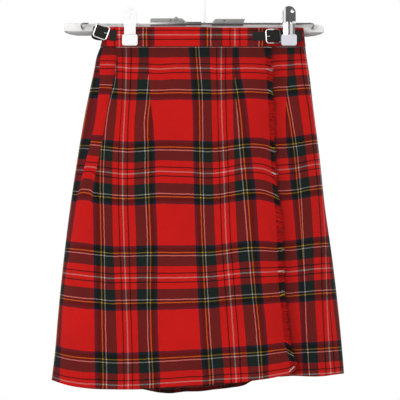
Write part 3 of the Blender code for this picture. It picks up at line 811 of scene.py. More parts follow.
def guide_value(values, drop):
    """A guide's x or warp coordinate at these drops."""
    if np.isscalar(values):
        return np.full(np.shape(drop), float(values))
    every = [*values, *[values[-1]] * (len(GUIDE_ROWS) - len(values))]
    return smooth(np.column_stack([GUIDE_ROWS, every]), chart_y(drop))[..., 0]


def relief(x, drop, station):
    """How far the soft folds and slow waves sink the front at these places."""
    depth = np.zeros(np.shape(x))
    for top_x, top, bottom_x, bottom, width, sink in TROUGHS:
        t = (drop - top) / (bottom - top)
        middle = top_x + (bottom_x - top_x) * t
        ends = ease((t + TROUGH_END) / (2 * TROUGH_END)) * ease((1 + TROUGH_END - t) / (2 * TROUGH_END))
        depth += sink * ends * hump(x, middle, width)
    waves = sum(share * np.sin(x / across + drop / down + phase) for across, down, phase, share in WAVES)
    depth += WAVE_DEPTH * waves * onset(drop, *WAVES_ONSET)
    return on_front(station, depth)


def crease_fade(drop, end):
    """1 above, going to 0 at this chart height."""
    return ease((mark_drop(end) - drop) / CREASE_FADE)


def creases(x, drop, station):
    """Sharp lines of the darts and tucks, sunk, with a rolled lip beside some."""
    places = {guide[0]: guide[1] for guide in OVER_GUIDES}
    depth = np.zeros(np.shape(x))
    for name, end, width, sink, lip in CREASES:
        away = x - mark_x(guide_value(places[name], drop))
        fade = crease_fade(drop, end)
        depth += sink * fade * np.exp(-np.abs(away) / width)
        depth -= lip * fade * hump(away, -LIP_AWAY, LIP_WIDTH)
    return on_front(station, depth)


# Meshes


def link(name, data):
    made = bpy.data.objects.new(name, data)
    bpy.context.scene.collection.objects.link(made)
    return made


def store(mesh, name, values, kind="FLOAT"):
    """Keeps a number, or a vector, for each of the mesh's points."""
    field = "vector" if kind == "FLOAT_VECTOR" else "value"
    mesh.attributes.new(name, kind, "POINT").data.foreach_set(field, np.asarray(values, np.float32).ravel())


def soften(mesh, sharp):
    """Shades the mesh smooth but for edges sharper than this angle."""
    mesh.shade_smooth()
    mesh.set_sharp_from_angle(angle=math.radians(sharp))


def closed_mesh(name, points, faces, sharp, uv=None, shade=None):
    """A closed mesh from points in mm, its faces outward. uv is each corner's place on the cloth."""
    mesh = bpy.data.meshes.new(name)
    mesh.from_pydata((points.reshape(-1, 3) * MM).tolist(), [], faces)
    if uv is not None:
        corners = (uv * MARK * MM).astype(np.float32)
        mesh.uv_layers.new(name="cloth").data.foreach_set("uv", corners.ravel())
        store(mesh, "shade", shade)
    work = bmesh.new()
    work.from_mesh(mesh)
    bmesh.ops.recalc_face_normals(work, faces=work.faces)
    work.to_mesh(mesh)
    work.free()
    soften(mesh, sharp)
    return link(name, mesh)


def quads(grid, after):
    """Faces between each line of a grid of point numbers and the line after it."""
    return np.stack([grid[:, :-1], grid[:, 1:], after[:, 1:], after[:, :-1]], axis=2).reshape(-1, 4)


def tube(count, length):
    """Faces of a closed tube of this many lines, and of its two ends."""
    grid = np.arange(count * length).reshape(count, length)
    sides = quads(grid, np.roll(grid, -1, axis=0))
    return [*sides.tolist(), grid[:, 0].tolist(), grid[::-1, -1].tolist()]


def unit(vectors):
    return vectors / np.linalg.norm(vectors, axis=-1, keepdims=True)


def shell(name, rows, uv, thick, shade):
    """A thin closed wall about a grid of middle points in mm. uv holds each cell's four corners, and shade
    each point's brightness outside and inside."""
    count, across = rows.shape[:2]
    out = unit(np.cross(np.gradient(rows, axis=1), np.gradient(rows, axis=0)))
    total = count * across
    index = np.arange(total).reshape(count, across)
    front = quads(index[:-1], index[1:])
    rim = np.concatenate([index[0], index[1:, -1], index[-1, -2::-1], index[-2:0:-1, 0]])
    after = np.roll(rim, -1)
    edge = np.stack([after, rim, rim + total, after + total], axis=1)
    cells = uv.reshape(-1, 4, 2)
    flat = np.zeros((total, 2))
    for k in range(4):
        flat[front[:, k]] = cells[:, k]
    loops = np.concatenate([cells, cells[:, ::-1], flat[edge % total]])
    faces = np.concatenate([front, front[:, ::-1] + total, edge])
    points = np.stack([rows + out * thick / 2, rows - out * thick / 2])
    return closed_mesh(name, points, faces.tolist(), SHARP["cloth"], loops.reshape(-1, 2), np.stack(shade))


def under_band(drop):
    """The waistband's soft shadow on the cloth below it."""
    dark, reach = BAND_SHADOW
    return 1 - dark * hump(drop, PANEL_TOP, reach)


def hem_drop(table, x):
    return smooth(table, x)[..., 0]


def panel(rows, guides, columns, hem):
    """Stations, drops and the guides' own cells. Each guide gives (stations, right value, left value) for
    given drops; columns between two guides are even, and their values run straight across."""
    stations, drops, values, lifts = [], [], [], []
    for level in np.linspace(0, 1, rows):
        at = []
        for guide in guides:
            drop = PANEL_TOP + level * (HEM - PANEL_TOP)
            for _ in range(SETTLING):
                station = float(guide[0](drop))
                x = float(FORM.x(station, drop))
                drop = PANEL_TOP + level * (float(hem(station, x)) - PANEL_TOP)
            at.append((station, drop))
        row_stations, row_values, row_lifts = [], [], []
        for n, count in enumerate(columns):
            t = np.linspace(0, 1, count + 1)
            (first, first_drop), (last, last_drop) = at[n], at[n + 1]
            value, lift = guides[n][2](first_drop)
            next_value, next_lift = guides[n + 1][1](last_drop)
            row_stations.append((first + (last - first) * t)[min(n, 1) :])
            row_values.append(value + (next_value - value) * t)
            row_lifts.append(lift + (next_lift - lift) * t)
        station = np.concatenate(row_stations)
        drop = np.full(len(station), PANEL_TOP + level * (HEM - PANEL_TOP))
        for _ in range(SETTLING):
            drop = PANEL_TOP + level * (hem(station, FORM.x(station, drop)) - PANEL_TOP)
        stations.append(station)
        drops.append(drop)
        values.append(row_values)
        lifts.append(row_lifts)
    return np.array(stations), np.array(drops), values, lifts


def cells_of(values, lifts, columns, weft):
    """Each cell's corner coordinates. weft gives the grid's own weft coordinate, before any lift."""
    rows = weft.shape[0]
    uv = np.zeros((rows - 1, weft.shape[1] - 1, 4, 2))
    first = 0
    for n, count in enumerate(columns):
        value = np.array([row[n] for row in values])
        along = weft[:, first : first + count + 1] + np.array([row[n] for row in lifts])
        part = uv[:, first : first + count]
        for k, (i, j) in enumerate(((0, 0), (0, 1), (1, 1), (1, 0))):
            part[:, :, k, 0] = value[i : rows - 1 + i, j : count + j]
            part[:, :, k, 1] = along[i : rows - 1 + i, j : count + j]
        first += count
    return uv


def weft_of(table, top_weft, x, drop):
    """The weft coordinate at these places, in marks."""
    lines = smooth(table, chart_x(x))
    y = chart_y(drop)
    top = np.full(y.shape, chart_y(PANEL_TOP))
    known = np.stack([top, *np.moveaxis(lines, -1, 0), lines[..., -1] + BEYOND], axis=-1)
    weft = np.array([top_weft, 0, SETT, 2 * SETT, 3 * SETT, 3 * SETT + BEYOND])
    k = np.clip((y[..., None] >= known).sum(axis=-1) - 1, 0, len(weft) - 2)
    low = np.take_along_axis(known, k[..., None], axis=-1)[..., 0]
    high = np.take_along_axis(known, k[..., None] + 1, axis=-1)[..., 0]
    return weft[k] + (weft[k + 1] - weft[k]) * (y - low) / (high - low)


def warp_along(values, more=None):
    """Gives a guide's warp coordinate and its lift in the weft, at a drop."""
    return lambda drop: (float(guide_value(values, drop)), float(more(drop)) if more else 0.0)


def chart_guide(guide, lift_right=None, lift_left=None):
    """A guide from the chart: its station, and its values on the right and on the left, at a drop."""

    def station(drop):
        return FORM.station_of(mark_x(guide_value(guide[1], drop)), drop)

    return station, warp_along(guide[2], lift_right), warp_along(guide[-1], lift_left)


def strip_rise(drop):
    return smooth(STRIP_RISE, chart_y(drop))[..., 0]


def strip_bent(drop):
    """How far the strip bends instead of riding up whole."""
    return onset(chart_y(drop), *STRIP_BEND_ONSET)


def strip_lift(drop):
    return strip_rise(drop) * (1 - strip_bent(drop))


def over_apron():
    """The outer front, from its free edge round the left side. Returns its middle points and edge weft."""
    lifts_of = {"first tuck": (None, strip_lift), "second tuck": (strip_lift, None)}
    fold = warp_along(FOLD_WARP)

    def edge_station(drop):
        return FORM.station_of(free_edge(drop)[0], drop)

    def seam_station(drop):
        return 1 + BACK_SEAM - FORM.half_seam(drop)

    def seam_warp(drop):
        return fold(drop)[0] - BACK_SEAM * FORM.half(drop)[1] / MARK, 0.0

    def hem(station, x):
        return np.where(np.asarray(station) <= 1, hem_drop(FRONT_HEM, x), hem_drop(BACK_HEM, x))

    guides = [
        (edge_station, None, warp_along(EDGE_WARP)),
        *(chart_guide(guide, *lifts_of.get(guide[0], ())) for guide in OVER_GUIDES),
        (lambda drop: 1.0, fold, fold),
        (seam_station, seam_warp, None),
    ]
    station, drop, values, lifts = panel(OVER_ROWS, guides, OVER_COLUMNS, hem)
    x = FORM.x(station, drop)
    out = over_out(station, x, drop) - relief(x, drop, station) - creases(x, drop, station)
    rows = FORM.at(station, drop, out)
    weft = weft_of(OVER_WEFT, OVER_TOP_WEFT, x, drop)
    before, width = sum(OVER_COLUMNS[:STRIP]), OVER_COLUMNS[STRIP]
    bend = np.zeros(weft.shape[1])
    bend[before : before + width + 1] = 1 - np.linspace(-1, 1, width + 1) ** 4
    weft = weft + strip_rise(drop) * strip_bent(drop) * bend
    uv = cells_of(values, lifts, OVER_COLUMNS, weft)
    dark, reach = EDGE_SHADOW
    outside = (1 - dark * hump(x, free_edge(drop)[0], reach) * (station < 1)) * under_band(drop)
    cloth = bpy.context.scene.kilt_sizes.cloth / MM
    made = shell("over_apron_cloth", rows, uv, cloth, (outside, np.full(x.shape, INSIDE)))
    return made, rows, weft[:, 0]


def shadow_beside_edge(x, drop):
    """Brightness of the under-apron beside the free edge: the over-apron's painted shadow, and a waving line
    of painted shadow by the fringe's tips.
    """
    away = x - free_edge(drop)[0]
    tips = TIPS_AWAY + sum(reach * np.sin(drop / length + phase) for length, phase, reach in TIPS_WAVES)
    dark = COVER_DARK + COVER_MORE * onset(drop, *COVER_MORE_ONSET)
    return 1 - dark * (1 - onset(away, *COVER_END)) - TIPS_DARK * hump(away, tips, TIPS_WIDTH)


def under_apron():
    """The inner front, from the right side seam across to the left, below the over-apron."""
    side_pivot, side_green, white, dart = (chart_guide(guide) for guide in UNDER_GUIDES)
    side = warp_along(SIDE_WARP)
    seam = warp_along(SEAM_WARP)

    def seam_station(drop):
        return -BACK_SEAM + FORM.half_seam(drop)

    def seam_warp(drop):
        return seam(drop)[0] + BACK_SEAM * float(FORM.half(drop)[1]) / MARK, 0.0

    def covered_station(drop):
        return FORM.station_of(free_edge(drop)[0] - COVERED_STATION, drop)

    def carried(station):
        """Warp coordinate at a station left of the dart, one mark of cloth to one mark along it."""

        def value(drop):
            run = (float(station(drop)) - float(dart[0](drop))) * float(FORM.half(drop)[0])
            return dart[2](drop)[0] - run / MARK, 0.0

        return value

    def end_station(drop):
        return UNDER_END

    def hem(station, x):
        return np.where(np.asarray(station) >= 0, hem_drop(UNDER_HEM, x), hem_drop(BACK_HEM, x))

    guides = [
        (seam_station, None, seam_warp),
        (lambda drop: 0.0, side, side),
        side_pivot,
        side_green,
        white,
        dart,
        (covered_station, carried(covered_station), carried(covered_station)),
        (end_station, carried(end_station), None),
    ]
    station, drop, values, lifts = panel(UNDER_ROWS, guides, UNDER_COLUMNS, hem)
    x = FORM.x(station, drop)
    dart_x = mark_x(guide_value(UNDER_GUIDES[-1][1], drop))
    third_dart = crease_fade(drop, THIRD_DART_END) * np.exp(-np.abs(x - dart_x) / THIRD_DART_WIDTH)
    covered = x < free_edge(drop)[0] - COVERED_CREASES
    sunk = relief(x, drop, station) + np.where(covered, creases(x, drop, station), third_dart)
    rows = FORM.at(station, drop, under_out(station, x, drop) - sunk)
    uv = cells_of(values, lifts, UNDER_COLUMNS, weft_of(UNDER_WEFT, UNDER_TOP_WEFT, x, drop))
    outside = np.where(station > 0, shadow_beside_edge(x, drop), 1) * under_band(drop)
    cloth = bpy.context.scene.kilt_sizes.cloth / MM
    return shell("under_apron_cloth", rows, uv, cloth, (outside, np.full(x.shape, INSIDE)))


def pleat_profile(drop):
    """One row of knife pleats: lengths round the loop, moves out, warp coordinates in mm and brightness,
    which is painted shade and a painted highlight.
    """
    front, behind = FORM.half(drop)
    start = front + BACK_SEAM * behind + SEAM / 2
    pitch = (behind * (1 - 2 * BACK_SEAM) - SEAM) / PLEATS
    widest = (FORM.half(HEM)[1] * (1 - 2 * BACK_SEAM) - SEAM) / PLEATS
    t = np.linspace(0, 1, PLEAT_FACE_CELLS + 1)
    rise = t + PLEAT_CROWN * np.sin(math.pi * t)
    # Painted shade at the start of each face, beside the fold before it, and a painted highlight toward its
    # folded edge
    bright = PLEAT_HIGHLIGHT * onset(t, *PLEAT_HIGHLIGHT_ONSET)
    face_shade = 1 - PLEAT_DARK * np.exp(-t / PLEAT_DARK_REACH) + bright
    points = []
    for i in range(PLEATS):
        begin = start + i * pitch
        end = begin + pitch
        first, last = i == 0, i == PLEATS - 1
        low = 0.0 if first else -PLEAT_STEP
        high = 0.0 if last else PLEAT_STEP
        origin = begin if first else begin + PLEAT_CLEAR
        lengths = origin + (end - origin) * t
        fold = (i + 1) * widest
        points += list(zip(lengths, low + (high - low) * rise, fold - (end - lengths), face_shade))
        if last:
            continue
        inner = end - PLEAT_TUCK * pitch
        deep = high - (high - low) * PLEAT_TUCK
        turned = fold + end - inner
        lengths = (end + PLEAT_LIP, end, inner, inner)
        outs = (high - PLEAT_STEP / 2, high - PLEAT_STEP, deep - PLEAT_STEP, deep - 2 * PLEAT_STEP)
        warps = (fold + PLEAT_STEP - PLEAT_LIP_WARP, fold + PLEAT_STEP, turned, turned + PLEAT_STEP)
        points += list(zip(lengths, outs, warps, PLEAT_FOLD_SHADES))
    return np.array(points).T


def back_pleats():
    """Knife pleats behind, each folded edge standing proud of the next pleat's face."""
    weft_end = 3 * SETT + BACK_HEM_WEFT
    rows, warp, weft, shade = [], [], [], []
    for level in np.linspace(0, 1, PLEAT_ROWS):
        guide = PANEL_TOP + level * (HEM - PANEL_TOP)
        front, behind = FORM.half(guide)
        lengths = pleat_profile(guide)[0]
        x = FORM.x(1 + (lengths - front) / behind, np.full(len(lengths), guide))
        drop = PANEL_TOP + level * (hem_drop(BACK_HEM, x) - PANEL_TOP)
        halves = FORM.half(drop)
        t = (drop - drop.min()) / max(np.ptp(drop), 1e-6)
        length, out, warps, dark = (1 - t) * pleat_profile(drop.min()) + t * pleat_profile(drop.max())
        station = 1 + (length - halves[:, 0]) / halves[:, 1]
        pleat = np.arange(len(x)) // (PLEAT_FACE_CELLS + 1 + len(PLEAT_FOLD_SHADES))
        wave = np.sin(pleat * PLEAT_SWAY_TURN + drop / PLEAT_SWAY_LENGTH)
        sway = PLEAT_SWAY * wave * onset(drop, *PLEAT_SWAY_ONSET)
        rows.append(FORM.at(station, drop, out + sway * ease(level * 3)))
        warp.append(warps / MARK + BACK_WARP)
        weft.append(np.full(len(x), OVER_TOP_WEFT + level * (weft_end - OVER_TOP_WEFT)))
        shade.append(dark)
    grid = np.stack([warp, weft], axis=2)
    uv = np.stack([grid[:-1, :-1], grid[:-1, 1:], grid[1:, 1:], grid[1:, :-1]], axis=2)
    inside = np.tile(np.linspace(*PLEATS_INSIDE, PLEAT_ROWS)[:, None], (1, grid.shape[1]))
    cloth = bpy.context.scene.kilt_sizes.pleat_cloth / MM
    return shell("back_pleats_cloth", np.array(rows), uv, cloth, (np.array(shade), inside))


def band_profile(thick, height, steps=5, flats=7):
    """Rounded section of a folded band: (drop from its top, move out), once round."""
    radius = thick / 2
    angles = [math.pi * k / steps for k in range(steps + 1)]
    points = [(radius - radius * math.sin(angle), radius * math.cos(angle)) for angle in angles]
    points += [(drop, -radius) for drop in np.linspace(radius * 1.6, height - radius, flats)]
    points += [(height - radius * (1 - 0.9 * math.sin(a)), -radius * math.cos(a)) for a in angles[1:]]
    points += [(drop, radius) for drop in np.linspace(radius * 1.6, height - radius * 1.2, flats)[::-1]]
    return points


def waistband(name, begin, end, out, columns, warp):
    """One folded band, swept along the waist."""
    profile = band_profile(BAND, BAND_HEIGHT)
    stations = np.linspace(begin, end, columns)
    rings, uv, shades = [], [], []
    for drop, side in profile:
        below = max(drop, 0.0)
        x = FORM.x(stations, np.full(columns, below))
        sag = BAND_SAG * onset(x, *BAND_SAG_ONSET) * max(1 - drop / BAND_SAG_DEPTH, 0)
        bulge = math.sin(math.pi * min(below / BAND_HEIGHT, 1))
        puff = BAND_PUFF * np.sin(x / BAND_PUFF_LENGTH + drop) * bulge
        move = out(stations, x, np.full(columns, drop)) + side + np.sign(side) * puff
        rings.append(FORM.at(stations, below + sag, move))
        uv.append(np.stack([warp(stations, x), np.full(columns, chart_y(drop) - BAND_WEFT)], axis=1))
        # Painted shade toward the band's right end, where the strap and clip sit on it
        shades.append(1 - BAND_SHADE * onset(x, *BAND_SHADE_ONSET))
    faces = tube(len(profile), columns)
    corners = np.reshape(uv, (-1, 2))[np.concatenate(faces)]
    return closed_mesh(name, np.array(rings), faces, SHARP["band"], corners, shades)


# Finishes


def feed(tree, node, inputs):
    """Links each of the node's inputs, by name or number, from a socket, or gives it a value."""
    for key, value in inputs.items():
        if isinstance(value, bpy.types.NodeSocket):
            tree.links.new(value, node.inputs[key])
        else:
            node.inputs[key].default_value = value
    return node


def add_node(tree, kind, inputs=None, **settings):
    node = tree.nodes.new(kind)
    for key, value in settings.items():
        setattr(node, key, value)
    return feed(tree, node, inputs or {})


def shader_nodes(name):
    made = bpy.data.materials.new(name)
    made.use_nodes = True
    return made, made.node_tree, made.node_tree.nodes["Principled BSDF"]


def maths(tree, operation, *values):
    return add_node(tree, "ShaderNodeMath", dict(enumerate(values)), operation=operation).outputs[0]


def more(tree, value, base, amount):
    """The base, and this amount more where the value is 1."""
    return maths(tree, "ADD", base, maths(tree, "MULTIPLY", value, amount))


def between(tree, value, limits, ends=(0.0, 1.0)):
    """Goes smoothly from one end to the other while the value runs between its limits."""
    inputs = dict(enumerate((value, *limits, *ends)))
    return add_node(tree, "ShaderNodeMapRange", inputs, interpolation_type="SMOOTHSTEP").outputs[0]


def mix_colour(tree, factor, first, second, blend="MIX"):
    paints = [paint if isinstance(paint, bpy.types.NodeSocket) else (*paint, 1) for paint in (first, second)]
    inputs = {0: factor, 6: paints[0], 7: paints[1]}
    return add_node(tree, "ShaderNodeMix", inputs, data_type="RGBA", blend_type=blend).outputs[2]


def scaled(tree, vector, factor):
    inputs = {0: vector, "Scale": factor}
    return add_node(tree, "ShaderNodeVectorMath", inputs, operation="SCALE").outputs[0]


def coordinate(tree, kind="Object"):
    return add_node(tree, "ShaderNodeTexCoord").outputs[kind]


def along(tree, vector, axis):
    """One number of a vector."""
    return add_node(tree, "ShaderNodeSeparateXYZ", {0: vector}).outputs[axis]


def noise(tree, place, grain, dimensions="3D"):
    scale, detail = GRAINS[grain]
    inputs = {"Vector": place, "Scale": scale, "Detail": detail}
    return add_node(tree, "ShaderNodeTexNoise", inputs, noise_dimensions=dimensions).outputs[0]


def bump(tree, height, strength, distance):
    inputs = {"Height": height, "Strength": strength, "Distance": distance}
    return add_node(tree, "ShaderNodeBump", inputs).outputs[0]


def ramp_of(tree, value, stops, kind="LINEAR"):
    """Colours along the value: each stop is a place and a colour."""
    node = add_node(tree, "ShaderNodeValToRGB", {0: value})
    node.color_ramp.interpolation = kind
    elements = node.color_ramp.elements
    while len(elements) < len(stops):
        elements.new(0.5)
    for element, (place, _) in zip(elements, stops):
        element.position = place
    for element, (_, colour) in zip(elements, stops):
        element.color = (*colour, 1)
    return node.outputs[0]


def sett_colour(tree, across):
    """The dye at this distance across the tartan, in metres."""
    colours = bpy.context.scene.kilt_colours
    half = bpy.context.scene.kilt_sizes.sett / 2
    folded = maths(tree, "PINGPONG", maths(tree, "DIVIDE", across, half), 1.0)
    starts = [0.0, *(end / STRIPES[-1][0] for end, _ in STRIPES)]
    stops = [(start, getattr(colours, dye)) for start, (_, dye) in zip(starts, STRIPES)]
    return ramp_of(tree, folded, stops, "CONSTANT")


def twill(tree):
    """The cloth's dye where warp and weft cross, and how far on the twill's slanting rib each thread is."""
    thread = bpy.context.scene.kilt_sizes.thread
    place = add_node(tree, "ShaderNodeUVMap", uv_map="cloth").outputs[0]
    wander = noise(tree, place, "wander", "2D")
    shift = maths(tree, "MULTIPLY", maths(tree, "SUBTRACT", wander, 0.5), WANDER)
    dyes, steps = [], []
    for axis in (0, 1):
        across = along(tree, place, axis)
        dyes.append(sett_colour(tree, maths(tree, "ADD", across, shift)))
        steps.append(maths(tree, "FLOOR", maths(tree, "DIVIDE", across, thread)))
    phase = maths(tree, "FRACT", maths(tree, "DIVIDE", maths(tree, "ADD", *steps), 4.0))
    weft_share = more(tree, maths(tree, "GREATER_THAN", phase, TWILL_HALF), *WEFT_SHARE)
    # darker pulls the mix toward the darker dye: painted shade of the weave's own shadowing
    darker = mix_colour(tree, 1.0, *dyes, "DARKEN")
    return mix_colour(tree, WEAVE_SHADE_SHARE, mix_colour(tree, weft_share, *dyes), darker), phase


def tartan(name, weave=True):
    """Twilled tartan wool on the piece's own UV map, or loose weft ends on its weft attribute."""
    made, tree, shader = shader_nodes(name)
    place = coordinate(tree)
    fuzz, cloud = noise(tree, place, "fuzz"), noise(tree, place, "cloud")
    if weave:
        dye, phase = twill(tree)
        rib = maths(tree, "SINE", maths(tree, "MULTIPLY", phase, 2 * math.pi))
        height = maths(tree, "ADD", maths(tree, "MULTIPLY", rib, 0.5), fuzz)
    else:
        dye = sett_colour(tree, add_node(tree, "ShaderNodeAttribute", attribute_name="weft").outputs["Fac"])
        height = fuzz
    # The shade attribute is painted shade and highlight on the cloth, and a random tone of each fringe strand
    shade = add_node(tree, "ShaderNodeAttribute", attribute_name="shade").outputs["Fac"]
    light = maths(tree, "MULTIPLY", more(tree, fuzz, *FUZZ_LIGHT), more(tree, cloud, *CLOUD_LIGHT))
    seen = scaled(tree, dye, maths(tree, "MULTIPLY", light, shade))
    linear = add_node(tree, "ShaderNodeGamma", {0: seen, 1: 2.2}).outputs[0]
    wool = {
        "Base Color": linear,
        "Roughness": 0.88,
        "Specular IOR Level": 0.18,
        "Sheen Weight": 0.05,
        "Sheen Roughness": 0.55,
        "Sheen Tint": (1.0, 0.85, 0.80, 1),
        "Normal": bump(tree, height, 0.35, 0.0004),
    }
    feed(tree, shader, wool)
    return made


def leather(name):
    """Grained leather with rubbed, browner patches."""
    made, tree, shader = shader_nodes(name)
    place = coordinate(tree)
    grain = add_node(tree, "ShaderNodeTexVoronoi", {"Vector": place, "Scale": PORES}).outputs["Distance"]
    rub = noise(tree, place, "rub")
    base = tuple(bpy.context.scene.kilt_colours.leather)
    hide = {
        "Base Color": mix_colour(tree, rub, base, [c * 1.6 + 0.002 for c in base]),
        "Roughness": more(tree, rub, 0.42, 0.2),
        "Specular IOR Level": 0.16,
        "Normal": bump(tree, grain, 0.4, 0.0003),
    }
    feed(tree, shader, hide)
    return made


def metal(name, colour, roughness, scratch=0.10, metallic=1.0):
    """Metal with fine scratches and duller patches."""
    made, tree, shader = shader_nodes(name)
    wear = noise(tree, coordinate(tree), "wear")
    worn = {
        "Base Color": mix_colour(tree, wear, tuple(colour), [c * 0.86 for c in colour]),
        "Roughness": more(tree, wear, roughness, scratch),
        "Metallic": metallic,
    }
    feed(tree, shader, worn)
    return made


def over_metal(made, limits, spot, bare_below=None):
    """Lays a painted reflection or shade over a metal along x: beyond the limits, or before them and not
    below a last place.
    """
    tree = made.node_tree
    shader = tree.nodes["Principled BSDF"]
    base = shader.inputs["Base Color"].links[0].from_socket
    x = along(tree, coordinate(tree), 0)
    beyond = between(tree, x, limits)
    if bare_below is None:
        feed(tree, shader, {"Base Color": mix_colour(tree, beyond, base, spot)})
        return made
    bare = maths(tree, "MAXIMUM", beyond, maths(tree, "LESS_THAN", x, bare_below))
    feed(tree, shader, {"Base Color": mix_colour(tree, bare, spot, base), "Metallic": bare})
    return made


def plastic(name, colour, roughness):
    """Moulded plastic with a faint mottle."""
    made, tree, shader = shader_nodes(name)
    mottle = noise(tree, coordinate(tree), "mottle")
    mould = {
        "Base Color": mix_colour(tree, mottle, tuple(colour), [c * 0.93 for c in colour]),
        "Roughness": more(tree, mottle, roughness, 0.1),
        "Normal": bump(tree, mottle, 0.15, 0.0002),
    }
    feed(tree, shader, mould)
    return made


def bar_plastic(name, colour):
    """The bar's plastic, a little see-through, with painted shade on its underside and a painted white
    highlight in its middle.
    """
    made = plastic(name, colour, 0.36)
    tree = made.node_tree
    shader = tree.nodes["Principled BSDF"]
    base = shader.inputs["Base Color"].links[0].from_socket
    underside_shade = between(tree, along(tree, coordinate(tree, "Normal"), 2), (-0.5, -0.12), (0.42, 1.0))
    x = along(tree, coordinate(tree), 0)
    middle = maths(tree, "LESS_THAN", maths(tree, "ABSOLUTE", x), BAR_LIT_MIDDLE)
    paint = mix_colour(tree, middle, scaled(tree, base, underside_shade), (1.0, 1.0, 1.0))
    glow = {"Base Color": paint, "Subsurface Weight": 0.35, "Subsurface Radius": (0.01, 0.01, 0.01)}
    feed(tree, shader, glow)
    return made


def rod_chrome(name):
    """Chrome with a painted white reflection over the rod's left half, but for its tip."""
    return over_metal(metal(name, (0.48, 0.48, 0.47), 0.16), ROD_REFLECTION, (0.92, 0.92, 0.91), ROD_TIP)


def buckle_chrome(name):
    """Bright chrome, with painted shade that makes the buckle's right end dark."""
    bright = metal(name, bpy.context.scene.kilt_colours.chrome, 0.06)
    return over_metal(bright, BUCKLE_SHADE, (0.16, 0.15, 0.15))


def finish(name):
    """The shared material of this name, made once."""
    found = bpy.data.materials.get(name)
    if found:
        return found
    colours = bpy.context.scene.kilt_colours
    makers = {
        "tartan twill": lambda: tartan(name),
        "fringe wool": lambda: tartan(name, weave=False),
        "black leather": lambda: leather(name),
        "bright chrome": lambda: metal(name, colours.chrome, 0.06),
        "rod chrome": lambda: rod_chrome(name),
        "buckle chrome": lambda: buckle_chrome(name),
        # A painted white reflection: chrome made flat white, not metal, for the left clip and the hook
        "chrome painted white as lit": lambda: metal(name, (1.0, 1.0, 1.0), 0.35, metallic=0.0),
        "sleeve steel": lambda: metal(name, (0.16, 0.16, 0.155), 0.4, metallic=0.6),
        "rivet steel": lambda: metal(name, (0.10, 0.10, 0.10), 0.5, metallic=0.4),
        "plate steel": lambda: metal(name, colours.plate, 0.5, scratch=0.12, metallic=0.25),
        "black thread": lambda: plastic(name, colours.leather, 0.6),
        "bar plastic": lambda: bar_plastic(name, colours.bar),
        "pad plastic": lambda: plastic(name, colours.pad, 0.42),
        # Painted white light: the left clip's pads made white, as they look lit white
        "pad plastic painted white as lit": lambda: plastic(name, (0.95, 0.95, 0.96), 0.42),
    }
    return makers[name]()


def dress(piece, material, node):
    """A finished piece: gives it its material, hangs it on the root body and hides the node that it stands
    for.
    """
    piece.data.materials.clear()
    piece.data.materials.append(finish(material))
    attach(piece, "root")
    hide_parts(node)
    return piece


def repaint(node, material):
    """A frame node that stays as it is, in a better finish."""
    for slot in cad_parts[node].material_slots:
        slot.link = "OBJECT"
        slot.material = finish(material)


# Geometry Nodes


def new_tree(name, inputs):
    """A node group with a geometry going in and out, and named number inputs."""
    tree = bpy.data.node_groups.new(name, "GeometryNodeTree")
    tree.interface.new_socket("Geometry", in_out="INPUT", socket_type="NodeSocketGeometry")
    kinds = {float: "NodeSocketFloat", int: "NodeSocketInt"}
    for title, value in inputs.items():
        socket = tree.interface.new_socket(title, in_out="INPUT", socket_type=kinds[type(value)])
        socket.default_value = value
    tree.interface.new_socket("Geometry", in_out="OUTPUT", socket_type="NodeSocketGeometry")
    return tree, tree.nodes.new("NodeGroupInput").outputs


def end_tree(tree, instances, material):
    """Makes the instances real, gives them their material and hands them on."""
    real = add_node(tree, "GeometryNodeRealizeInstances", {0: instances})
    paint = add_node(tree, "GeometryNodeSetMaterial", {0: real.outputs[0], "Material": finish(material)})
    add_node(tree, "NodeGroupOutput", {0: paint.outputs[0]})
    return tree


def run_tree(piece, tree, inputs):
    """Runs the tree on the piece with these input values, and keeps the result as a plain mesh."""
    modifier = piece.modifiers.new(tree.name, "NODES")
    modifier.node_group = tree
    for item in tree.interface.items_tree:
        if item.item_type == "SOCKET" and item.in_out == "INPUT" and item.name in inputs:
            modifier[item.identifier] = inputs[item.name]
    bpy.context.view_layer.update()
    graph = bpy.context.evaluated_depsgraph_get()
    seen = piece.evaluated_get(graph)
    mesh = bpy.data.meshes.new_from_object(seen, preserve_all_data_layers=True, depsgraph=graph)
    piece.modifiers.clear()
    piece.data = mesh
    if not mesh.polygons:
        raise RuntimeError(f"{piece.name}: {tree.name} made no faces")
    return piece


def turned_to(tree, way):
    """The turn that lays +X along this way."""
    return add_node(tree, "FunctionNodeAlignRotationToVector", {"Vector": way}, axis="X").outputs[0]


def point_value(tree, name, kind="FLOAT"):
    node = add_node(tree, "GeometryNodeInputNamedAttribute", {"Name": name}, data_type=kind)
    return node.outputs["Attribute"]


def chance(tree, kind, low, high, seed):
    """A random value of this kind for each point."""
    n = ("FLOAT_VECTOR", "FLOAT", "INT").index(kind)
    inputs = {2 * n: low, 2 * n + 1: high, "Seed": seed}
    return add_node(tree, "FunctionNodeRandomValue", inputs, data_type=kind).outputs[n]


